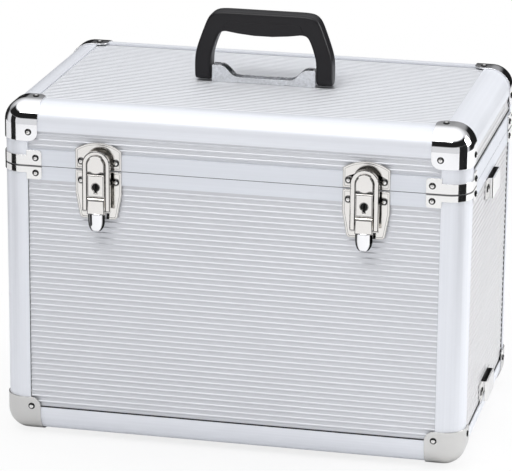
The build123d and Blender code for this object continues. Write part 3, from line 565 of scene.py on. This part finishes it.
def round_off(bm, parts, width, segments, kind="EDGES", clamp=False):
    """Bevel some edges or vertices, with the width in the bmesh's own unit."""
    bmesh.ops.bevel(
        bm, geom=parts, offset=width, segments=segments, profile=0.5, affect=kind,
        clamp_overlap=clamp, material=-1,
    )


def welded_copy(node):
    """The mesh of a CAD piece as a bmesh with merged vertices."""
    bm = bmesh.new()
    bm.from_mesh(nodes[node].data)
    bmesh.ops.remove_doubles(bm, verts=bm.verts, dist=weld)
    return bm


def clean_copy(node):
    """A welded copy whose flat areas are whole faces."""
    bm = welded_copy(node)
    bmesh.ops.dissolve_limit(
        bm, angle_limit=flat_angle, use_dissolve_boundaries=False, verts=bm.verts,
        edges=bm.edges, delimit=set(),
    )
    return bm


def flat_normals(piece):
    """Let big flat faces rule the shading of their corners."""
    for face in piece.data.polygons:
        face.use_smooth = True
    weighted = piece.modifiers.new("flat_faces", "WEIGHTED_NORMAL")
    weighted.mode = "FACE_AREA"
    weighted.weight = 100
    weighted.keep_sharp = True


def dark_ring(bm, faces, layer, thickness, dark, depth=0.0):
    """Inset some faces and give the new ring round them a painted shade value."""
    ring = bmesh.ops.inset_region(
        bm, faces=faces, thickness=thickness * mm, depth=depth * mm, use_boundary=True,
        use_even_offset=True,
    )
    for face in ring["faces"]:
        for corner in face.loops:
            corner[layer] = dark


def rounded_copy(node, body, material, slot, width, segments=2, outline=0.0, border=0.0, cut=0.0):
    """A copy of a CAD piece with rounded edges, which replaces it.

    An outline paints shade on the edge of its front faces, a border with painted shade is pressed
    round a latch plate's front, and a cut takes off what is below a level. All sizes are in
    millimetres.
    """
    bm = clean_copy(node)
    if cut:
        everything = bm.verts[:] + bm.edges[:] + bm.faces[:]
        bmesh.ops.bisect_plane(
            bm, geom=everything, plane_co=(0, 0, cut * mm), plane_no=(0, 0, 1), clear_inner=True
        )
        bmesh.ops.holes_fill(bm, edges=[e for e in bm.edges if e.is_boundary])
    sharp = [e for e in bm.edges if e.is_manifold and e.calc_face_angle() > sharp_angle]
    layer = bm.loops.layers.float.new("painted_shade")
    round_off(bm, sharp, width * mm, segments, clamp=True)
    front = [f for f in bm.faces if f.normal.y < front_facing]
    if border:
        # A painted shade edge, a margin without it, and the pressed groove with painted shade in
        # it.
        plate = [
            f for f in front
            if abs(f.calc_center_median().y + plate_front * mm) < level_slack * mm
        ]
        for thickness, dark, depth in ((0.5, 0.7, 0.0), (1.1, 0.0, 0.0), (border, 0.55, -0.2)):
            dark_ring(bm, plate, layer, thickness, dark, depth)
        front = [f for f in front if f.is_valid and f not in plate]
    if outline:
        dark_ring(bm, front, layer, outline, dark=0.95)
    piece = from_bmesh(node + "_soft", bm)
    flat_normals(piece)
    piece.data.materials.append(material)
    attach(piece, body)
    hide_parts(node)
    print(piece.name, "faces:", len(piece.data.polygons))


# The latch parts get painted shade along their outlines.
for side in ("left", "right"):
    for node, body, sizes in (
        (f"{side}_catch_plate", "lid", {"width": 0.5, "outline": 0.7, "border": 0.6}),
        (f"{side}_latch_plate", "case", {"width": 0.5, "outline": 0.7, "border": 0.6}),
        (f"{side}_lock_case", "case", {"width": 0.35, "outline": 0.5}),
        (f"{side}_lever", f"{side}_lever_body", {"width": 0.5, "outline": 0.7, "cut": 233.6}),
        (f"{side}_bail", f"{side}_bail_body", {"width": 1.2, "segments": 5, "outline": 0.8}),
    ):
        rounded_copy(node, body, latch_nickel, "latch_chrome", **sizes)
rounded_copy("strap_loops", "case", bright_nickel, "bracket_metal", 0.5, 3)
rounded_copy("handle_bracket", "lid", zinc, "handle_bracket_metal", 0.3)
rounded_copy("base_hinge_leaves", "case", bright_nickel, "bracket_metal", 0.25)
rounded_copy("lid_hinge_leaves", "lid", bright_nickel, "bracket_metal", 0.25)
rounded_copy("rubber_feet", "case", rubber, "foot_rubber", 0.4, 3)

# %% [markdown]
# The lever ends in a finger tongue, bulged across like a finger nail. Its middle shows the white
# table. Its two sides are painted dark, a painted reflection, because in the picture they are
# black.

# %% Finger tongues
sheet = 1.2


def slope(value, start, width):
    """0 up to the start, 1 from one width further on, and a straight slope between."""
    return min(1.0, max(0.0, (value - start) / width))


def finger_tongue(side, middle):
    """The bulged tongue under a lever, in millimetres, from a grid bent round an upright axis."""
    columns = 16
    rows = 12
    spread = math.radians(48)
    half_across = 8.3
    length = 17.0
    top = 234.2
    edge_out = 149.3
    bend = 0.9
    taper = 0.82
    taper_start = 0.4
    dark_from = 0.62
    dark_width = 0.12
    radius = half_across / math.sin(spread)
    bm = bmesh.new()
    bmesh.ops.create_grid(bm, x_segments=columns, y_segments=rows, size=1.0)
    layer = bm.verts.layers.float.new("painted_shade")
    for vertex in bm.verts:
        across, down = vertex.co.x, (1 - vertex.co.y) / 2
        # The tongue's sides get a painted dark reflection.
        vertex[layer] = slope(abs(across), dark_from, dark_width)
        low = max(0.0, (down - taper_start) / (1 - taper_start))
        angle = across * spread * math.sqrt(1 - taper * low**2)
        depth = edge_out + radius * (math.cos(angle) - math.cos(spread)) - bend * down**2
        place = (middle + radius * math.sin(angle), -depth, top - length * down)
        vertex.co = Vector(place) * mm
    bmesh.ops.recalc_face_normals(bm, faces=bm.faces)
    if sum(face.normal.y for face in bm.faces) > 0:
        bmesh.ops.reverse_faces(bm, faces=bm.faces[:])
    for face in bm.faces:
        face.smooth = True
    tongue = from_bmesh(f"{side}_finger_tongue", bm)
    wall = tongue.modifiers.new("sheet", "SOLIDIFY")
    wall.thickness = sheet * mm
    wall.offset = -1
    tongue.data.materials.append(chrome)
    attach(tongue, f"{side}_lever_body")
    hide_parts(f"{side}_lever")
    print(tongue.name, "faces:", len(tongue.data.polygons))


latch_middle = 129.0
finger_tongue("left", -latch_middle)
finger_tongue("right", latch_middle)

# %% [markdown]
# ## Rivets
# A rivet head sits in a ring of painted shade. The ring can't be had from a plain metal,
# so each vertex gets its painted shade value from its distance to the rivet's own axis.

# %% Rivets
rivet_metal = finish_of(
    "rivet_metal", (0.90, 0.89, 0.87), 0.10, scale=600, dullness=0.03, bump=0.01
)
# Painted shade in a ring round each rivet head.
paint_edge_shade(rivet_metal, (0.02, 0.02, 0.02))


def connected_parts(bm):
    """The separate solids of a bmesh, each as a list of vertices."""
    left, parts = set(bm.verts), []
    while left:
        part = [left.pop()]
        for vertex in part:
            for edge in vertex.link_edges:
                other = edge.other_vert(vertex)
                if other in left:
                    left.discard(other)
                    part.append(other)
        parts.append(part)
    return parts


def rivet_copy(node, body):
    """The rivets of one half, with the painted shade value on each vertex."""
    unshaded_radius = 1.5
    ring_width = 0.7
    bm = welded_copy(node)
    layer = bm.verts.layers.float.new("painted_shade")
    parts = connected_parts(bm)
    for part in parts:
        spans = []
        for axis in range(3):
            values = [v.co[axis] for v in part]
            spans.append((min(values), max(values)))
        along = max(range(3), key=lambda axis: spans[axis][1] - spans[axis][0])
        middle = [sum(span) / 2 for span in spans]
        for v in part:
            away = math.sqrt(sum((v.co[i] - middle[i]) ** 2 for i in range(3) if i != along)) / mm
            v[layer] = slope(away, unshaded_radius, ring_width)
    piece = from_bmesh(node + "_heads", bm)
    for face in piece.data.polygons:
        face.use_smooth = True
    piece.data.materials.append(rivet_metal)
    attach(piece, body)
    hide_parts(node)
    print(node, "rivets:", len(parts))


rivet_copy("base_rivets", "case")
rivet_copy("lid_rivets", "lid")

# %% [markdown]
# ## Corner caps
# A corner cap is one piece of sheet, drawn over a die into a ball corner with three flat legs.
# A cube with its three outer edges bevelled has just that skin: three flats, three quarter
# rounds and an eighth of a ball. A bevel of its three inner edges rounds the corners of the legs.
# The inner faces are taken away, and the skin gets its thickness inwards.

# %% Caps
half_width = 225.0
half_depth = 140.0
floor_level = 4.0
top_level = 334.0
edge_radius = 20.0
skin = 1.3
outer_radius = edge_radius + skin


def face_outwards(bm, centre):
    """Turn all faces away from a point inside, and shade them smooth."""
    bmesh.ops.recalc_face_normals(bm, faces=bm.faces)
    if sum((f.calc_center_median() - centre).dot(f.normal) for f in bm.faces) < 0:
        bmesh.ops.reverse_faces(bm, faces=bm.faces[:])
    for face in bm.faces:
        face.smooth = True


def pressed_sheet(piece, edge):
    """Give a skin its thickness inwards, and soften its cut edges."""
    wall = piece.modifiers.new("sheet", "SOLIDIFY")
    wall.thickness = sheet * mm
    wall.offset = -1
    soft = piece.modifiers.new("soft_edges", "BEVEL")
    soft.width = edge * mm
    soft.segments = 2
    soft.limit_method = "ANGLE"
    soft.angle_limit = math.radians(50)
    flat_normals(piece)


def corner_cap(name, body, node, x, y, z, level, material):
    """The pressed cap of one corner, built in the first octant and mirrored into place."""
    reach = 36.0
    leg_radius = 9.0
    size = reach + skin
    bm = bmesh.new()
    bmesh.ops.create_cube(bm, size=size * mm)
    bmesh.ops.translate(bm, vec=Vector((size, size, size)) * mm / 2, verts=bm.verts)
    far = [v for v in bm.verts if min(v.co) > size * mm / 2][0]
    near = [v for v in bm.verts if max(v.co) < size * mm / 2][0]
    round_off(bm, list(near.link_edges), leg_radius * mm, 8)
    round_off(bm, list(far.link_edges), outer_radius * mm, 14)
    inside = [f for f in bm.faces if min(f.normal) < -0.01]
    bmesh.ops.delete(bm, geom=inside, context="FACES")
    # The cube's far corner becomes the outer corner of the box.
    bmesh.ops.translate(bm, vec=Vector((-size, -size, -size)) * mm, verts=bm.verts)
    bmesh.ops.scale(bm, vec=(x, y, z), verts=bm.verts)
    place = Vector((x * (half_width + skin), y * (half_depth + skin), level + z * skin)) * mm
    bmesh.ops.translate(bm, vec=place, verts=bm.verts)
    centre = Vector((x * (half_width - reach), y * (half_depth - reach), level - z * reach)) * mm
    face_outwards(bm, centre)
    piece = from_bmesh(name, bm)
    pressed_sheet(piece, 0.3)
    piece.data.materials.append(material)
    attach(piece, body)
    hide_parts(node)
    print(piece.name, "faces:", len(piece.data.polygons))


corner_names = {
    "front_left": (-1, -1), "front_right": (1, -1), "back_left": (-1, 1), "back_right": (1, 1),
}
for corner, (x, y) in corner_names.items():
    corner_cap(
        f"bright_cap_{corner}", "lid", f"lid_cap_{corner}", x, y, 1, top_level, chrome,
    )
    corner_cap(
        f"satin_cap_{corner}", "case", f"base_cap_{corner}", x, y, -1, floor_level, satin_nickel,
    )

# %% [markdown]
# ## Seam brackets
# Beside the seam a band of sheet is folded round each upright corner, and a taller leg at each
# end carries a rivet. We draw the band's line from above, with its corner rounded, pull it up
# to the band's height, pull the two ends up again to the legs' height, and thicken the sheet.
# The vertices at the seam get painted shade, for the shadow in the joint.

# %% Brackets
seam_level = 274.0


def grown_parts(grown, kind):
    """The new vertices, edges or faces that an extrusion gives back."""
    return [part for part in grown["geom"] if isinstance(part, kind)]


def seam_bracket(x, y, up, leg_height, band_height):
    """One bracket as a bmesh, in millimetres from the outer corner, then put in its place."""
    reach = 40.0
    notch = 25.0
    gap = 0.4
    dark_edge = 0.9
    tip_radius = 3.0
    slack = 0.1
    bm = bmesh.new()
    points = [(reach, -skin), (notch, -skin), (-skin, -skin), (-skin, notch), (-skin, reach)]
    line = [bm.verts.new((px, py, 0)) for px, py in points]
    for pair in zip(line, line[1:]):
        bm.edges.new(pair)
    round_off(bm, [line[2]], outer_radius, 14, "VERTICES")
    layer = bm.verts.layers.float.new("painted_shade")
    seam_edge = bm.verts[:]
    grown = bmesh.ops.extrude_edge_only(bm, edges=bm.edges[:])
    raised = grown_parts(grown, bmesh.types.BMVert)
    bmesh.ops.translate(bm, vec=(0, 0, dark_edge), verts=raised)
    grown = bmesh.ops.extrude_edge_only(bm, edges=grown_parts(grown, bmesh.types.BMEdge))
    raised = grown_parts(grown, bmesh.types.BMVert)
    bmesh.ops.translate(bm, vec=(0, 0, band_height - dark_edge), verts=raised)
    # Painted shade along the seam edge.
    for vertex in seam_edge:
        vertex[layer] = 1.0
    ends = [
        edge for edge in grown_parts(grown, bmesh.types.BMEdge)
        if all(v in raised and max(v.co.x, v.co.y) > notch - slack for v in edge.verts)
    ]
    grown = bmesh.ops.extrude_edge_only(bm, edges=ends)
    tips = grown_parts(grown, bmesh.types.BMVert)
    bmesh.ops.translate(bm, vec=(0, 0, leg_height - band_height), verts=tips)
    far_tips = [v for v in tips if max(v.co.x, v.co.y) > reach - slack]
    round_off(bm, far_tips, tip_radius, 5, "VERTICES")
    bmesh.ops.scale(bm, vec=(-x, -y, up), verts=bm.verts)
    bmesh.ops.translate(
        bm, vec=(x * half_width, y * half_depth, seam_level + up * gap), verts=bm.verts
    )
    bmesh.ops.scale(bm, vec=(mm, mm, mm), verts=bm.verts)
    face_outwards(bm, Vector((x * (half_width - reach), y * (half_depth - reach), seam_level)) * mm)
    return bm


for half, body, up, leg_height, band_height in (
    ("lid", "lid", 1, 15.0, 10.0),
    ("base", "case", -1, 12.7, 6.5),
):
    for corner, (x, y) in corner_names.items():
        bm = seam_bracket(x, y, up, leg_height, band_height)
        piece = from_bmesh(f"{half}_bracket_{corner}", bm)
        pressed_sheet(piece, 0.25)
        piece.data.materials.append(bright_nickel)
        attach(piece, body)
        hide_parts(f"{half}_seam_brackets")
        print(piece.name, "faces:", len(piece.data.polygons))

# %% [markdown]
# ## The handle's grip
# The grip is one plastic moulding: two upright legs that lean in towards a thick bar, with a
# belly under the bar for the fingers. Its section is a rounded rectangle all the way.
# One half is made by extruding that section from leg to bar and mirrored, so both ends match.

# %% Grip
# The section's corner radius, as a share of its sides.
corner_share = 0.17
stations = (
    # outer x, outer z, inner x, inner z, half of the thickness
    (66.6, 334.15, 54.1, 334.15, 2.6),
    (67.9, 334.8, 52.8, 334.8, 4.6),
    (68.5, 336.2, 52.2, 336.2, 6.5),
    (68.5, 338.6, 52.2, 338.6, 8.3),
    (68.5, 343.5, 52.2, 343.5, 9.5),
    (68.5, 354.0, 52.2, 355.0, 9.5),
    (67.8, 361.0, 51.6, 360.5, 9.5),
    (65.8, 369.0, 50.1, 366.0, 9.5),
    (62.3, 379.0, 48.2, 372.0, 9.5),
    (58.6, 389.0, 46.0, 377.6, 9.5),
    (55.8, 396.0, 44.2, 381.2, 9.5),
    (52.2, 400.9, 41.8, 383.2, 9.5),
    (46.8, 403.5, 38.4, 383.9, 9.5),
    (39.0, 404.0, 34.0, 383.6, 9.5),
    (28.0, 404.0, 26.5, 382.6, 9.5),
    (14.0, 404.0, 13.6, 381.1, 9.5),
    (0.0, 404.0, 0.0, 380.5, 9.5),
)


def station_matrix(outer_x, outer_z, inner_x, inner_z, half_thick):
    """Places the unit section: x from the inner to the outer edge, y through the thickness."""
    outer = Vector((outer_x, 0, outer_z)) * mm
    inner = Vector((inner_x, 0, inner_z)) * mm
    across = outer - inner
    deep = Vector((0, 2 * half_thick * mm, 0))
    along = across.cross(deep).normalized() * mm
    middle = (outer + inner) / 2
    return Matrix(
        (
            (across.x, deep.x, along.x, middle.x),
            (across.y, deep.y, along.y, middle.y),
            (across.z, deep.z, along.z, middle.z),
            (0, 0, 0, 1),
        )
    )


bm = bmesh.new()
bmesh.ops.create_grid(bm, x_segments=1, y_segments=1, size=0.5)
round_off(bm, bm.verts[:], corner_share, 5, "VERTICES")
face = bm.faces[:][0]
previous = None
for station in stations:
    here = station_matrix(*station)
    grown = bmesh.ops.extrude_face_region(bm, geom=[face])
    end = grown_parts(grown, bmesh.types.BMFace)[0]
    if previous is None:
        bmesh.ops.transform(bm, matrix=here, verts=bm.verts)
    else:
        bmesh.ops.delete(bm, geom=[face], context="FACES_ONLY")
        bmesh.ops.transform(bm, matrix=here @ previous.inverted(), verts=end.verts)
    face, previous = end, here
bmesh.ops.delete(bm, geom=[face], context="FACES_ONLY")
half = bm.verts[:] + bm.edges[:] + bm.faces[:]
bmesh.ops.mirror(bm, geom=half, matrix=Matrix.Identity(4), merge_dist=0.0001, axis="X")
bmesh.ops.remove_doubles(bm, verts=bm.verts, dist=0.00001)
bmesh.ops.recalc_face_normals(bm, faces=bm.faces)
for face in bm.faces:
    face.smooth = True
grip = from_bmesh("moulded_grip", bm)
smooth = grip.modifiers.new("smooth", "SUBSURF")
smooth.levels = smooth.render_levels = 1
grip.data.materials.append(moulded)
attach(grip, "handle")
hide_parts("handle_grip")
print("grip faces:", len(grip.data.polygons))

# %% [markdown]
# The bar has a thin raised pad on its front and back. In the picture its edge is a fine line.

# %% Pads of the grip
def grip_pad(name, side):
    """A thin raised pad with a rounded outline on one side of the bar."""
    outline = (
        (-41, 385.2), (-25, 382.9), (-9, 381.5), (9, 381.5), (25, 382.9), (41, 385.2),
        (36, 394.0), (-36, 394.0),
    )
    foot = 9.45
    proud = 0.45
    bm = bmesh.new()
    ring = [bm.verts.new((x * mm, side * foot * mm, z * mm)) for x, z in outline]
    face = bm.faces.new(ring)
    grown = bmesh.ops.extrude_face_region(bm, geom=[face])
    moved = grown_parts(grown, bmesh.types.BMVert)
    bmesh.ops.translate(bm, vec=(0, side * proud * mm, 0), verts=moved)
    bmesh.ops.recalc_face_normals(bm, faces=bm.faces)
    round_off(bm, bm.edges[:], 0.2 * mm, 2)
    pad = from_bmesh(name, bm)
    flat_normals(pad)
    pad.data.materials.append(moulded)
    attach(pad, "handle")
    print(pad.name, "faces:", len(pad.data.polygons))


grip_pad("grip_pad_front", -1)
grip_pad("grip_pad_back", 1)

# %% [markdown]
# ## Painted shadow in the board joints
# A thin black bead is put in the joint between each board and the rail below it, and a finer one
# runs up both ends, as painted shadow of the joints. From above they read as the dark lines round
# the boards. The lid's front and back boards have none.

# %% Joint shadow
face_turns = {"front": 0, "right": 90, "back": 180, "left": 270}
board_runs = {"front": 199.0, "back": 199.0, "left": 114.0, "right": 114.0}
play = 0.02
bead_height = 0.95
end_width = 0.27


def add_box(bm, size, middle):
    """Add a box to a bmesh, and give back its vertices."""
    bmesh.ops.create_cube(bm, size=1.0)
    fresh = bm.verts[-8:]
    bmesh.ops.scale(bm, vec=size, verts=fresh)
    bmesh.ops.translate(bm, vec=middle, verts=fresh)
    return fresh


def joint_shadow_strip(bm, face, low, high, level_low, level_high):
    """One straight bead of painted shadow in a board's edge, in millimetres along the face and up.
    """
    inner = 1.85
    outer = 1.0
    half_reach = half_depth if face in ("front", "back") else half_width
    size = (high - low, inner - outer, level_high - level_low)
    middle = ((low + high) / 2, -(half_reach - (inner + outer) / 2), (level_low + level_high) / 2)
    fresh = add_box(bm, size, middle)
    turn = Matrix.Rotation(math.radians(face_turns[face]), 3, "Z")
    bmesh.ops.rotate(bm, cent=(0, 0, 0), matrix=turn, verts=fresh)


for half, body, board_low, board_high, faces in (
    ("base", "case", 30.0, 260.2, ("front", "back", "left", "right")),
    ("lid", "lid", 290.3, 308.0, ("left", "right")),
):
    bm = bmesh.new()
    for face in faces:
        run = board_runs[face]
        joint_shadow_strip(bm, face, -run + play, run - play, board_low + play, board_low + bead_height)
        for side in (-1, 1):
            near, far = sorted((side * (run - play), side * (run - end_width)))
            joint_shadow_strip(bm, face, near, far, board_low + bead_height + play, board_high - play)
    bmesh.ops.scale(bm, vec=(mm, mm, mm), verts=bm.verts)
    round_off(bm, bm.edges[:], 0.06 * mm, 1)
    joint_shadow = from_bmesh(f"{half}_board_joint_shadow", bm)
    joint_shadow.data.materials.append(rubber)
    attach(joint_shadow, body)
    print(joint_shadow.name, "faces:", len(joint_shadow.data.polygons))

# %% [markdown]
# Behind each strap loop a thin black pad is put in as painted shade, so the slot is dark.

# %% Painted shade in the strap slots
pad_size = (0.6, 39.0, 18.0)
pad_place = 223.8
loop_levels = (248.7, 41.5)
bm = bmesh.new()
for side in (-1, 1):
    for level in loop_levels:
        add_box(bm, pad_size, (side * pad_place, 0, level))
bmesh.ops.scale(bm, vec=(mm, mm, mm), verts=bm.verts)
round_off(bm, bm.edges[:], 0.15 * mm, 2)
slot_shade_pads = from_bmesh("slot_shade_pads", bm)
slot_shade_pads.data.materials.append(rubber)
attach(slot_shade_pads, "case")
print("strap pads:", 2 * len(loop_levels))

# %% [markdown]
# Another black bead is put in the joint under the lid, as painted shade of the seam. It is a flat
# ring with the case's rounded corners, thinner than the joint, so that the lid closes over it.

# %% Painted shade in the seam
def seam_ring(bm, inset, level):
    """A closed ring of vertices round the case, in millimetres inside its outer faces."""
    steps = 8
    ring = []
    for quarter, (x, y) in enumerate(((1, 1), (-1, 1), (-1, -1), (1, -1))):
        middle = Vector((x * (half_width - edge_radius), y * (half_depth - edge_radius), level))
        for step in range(steps + 1):
            angle = math.radians(90 * quarter + step * 90 / steps)
            arm = Vector((math.cos(angle), math.sin(angle), 0)) * (edge_radius - inset)
            ring.append(bm.verts.new(middle + arm))
    return ring


bead_low = 273.75
bead_high = 274.22
bead_outside = 0.2
bead_inside = 3.0
bm = bmesh.new()
rings = [
    seam_ring(bm, bead_outside, bead_low),
    seam_ring(bm, bead_outside, bead_high),
    seam_ring(bm, bead_inside, bead_high),
    seam_ring(bm, bead_inside, bead_low),
]
for ring, following in zip(rings, rings[1:] + rings[:1]):
    for index, vertex in enumerate(ring):
        after = (index + 1) % len(ring)
        bm.faces.new((vertex, ring[after], following[after], following[index]))
bmesh.ops.scale(bm, vec=(mm, mm, mm), verts=bm.verts)
bmesh.ops.recalc_face_normals(bm, faces=bm.faces)
seam_shade = from_bmesh("seam_shade_ring", bm)
seam_shade.data.materials.append(rubber)
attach(seam_shade, "case")
print("bead faces:", len(seam_shade.data.polygons))

# %% [markdown]
# ## Lining
# Inside, thin foam pads covered with cloth protect the load. Each pad is a flat box with
# rounded edges, slightly fuller in the middle, because foam pushes the cloth out.

# %% Pads
def lining_pad(name, body, node, low, high, crown):
    """A cloth-covered foam pad between two corners, in millimetres."""
    rounding = 0.3
    cuts = 14
    short_edge = 0.03
    fall_off = 6
    low, high = Vector(low) * mm, Vector(high) * mm
    size = high - low
    thin = min(range(3), key=lambda axis: size[axis])
    bm = bmesh.new()
    bmesh.ops.create_cube(bm, size=1.0)
    bmesh.ops.scale(bm, vec=size, verts=bm.verts)
    round_off(bm, bm.edges[:], rounding * min(size), 3)
    long_edges = [edge for edge in bm.edges if edge.calc_length() > short_edge]
    bmesh.ops.subdivide_edges(bm, edges=long_edges, cuts=cuts, use_grid_fill=True)
    for vertex in bm.verts:
        share = 1.0
        for axis in range(3):
            if axis != thin:
                reach = abs(vertex.co[axis]) / (size[axis] / 2)
                share *= max(0.0, 1 - reach**fall_off)
        vertex.co[thin] *= 1 + crown * (share - 1)
    bmesh.ops.translate(bm, vec=(low + high) / 2, verts=bm.verts)
    for face in bm.faces:
        face.smooth = True
    pad = from_bmesh(name, bm)
    pad.data.materials.append(lining_cloth)
    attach(pad, body)
    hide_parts(node)
    print(pad.name, "size:", tuple(size))


wide = 217.4
deep = 132.4
inset = 3
wall_inset = 3.1
wall_pad = 2.9
crown = 0.15
for body, node, floor_low, floor_high, wall_low, wall_high in (
    ("case", "base_lining", 11.6, 16.4, 16.7, 271.5),
    ("lid", "lid_lining", 323.6, 326.4, 279.0, 323.3),
):
    low, high = (-wide + inset, -deep + inset, floor_low), (wide - inset, deep - inset, floor_high)
    lining_pad(f"{body}_flat_pad", body, node, low, high, crown)
    for face, y in (("front", -1), ("back", 1)):
        near, far = sorted((y * deep, y * (deep - wall_pad)))
        low, high = (-wide, near, wall_low), (wide, far, wall_high)
        lining_pad(f"{body}_{face}_pad", body, node, low, high, crown)
    for face, x in (("left", -1), ("right", 1)):
        near, far = sorted((x * wide, x * (wide - wall_pad)))
        low, high = (near, -deep + wall_inset, wall_low), (far, deep - wall_inset, wall_high)
        lining_pad(f"{body}_{face}_pad", body, node, low, high, crown)
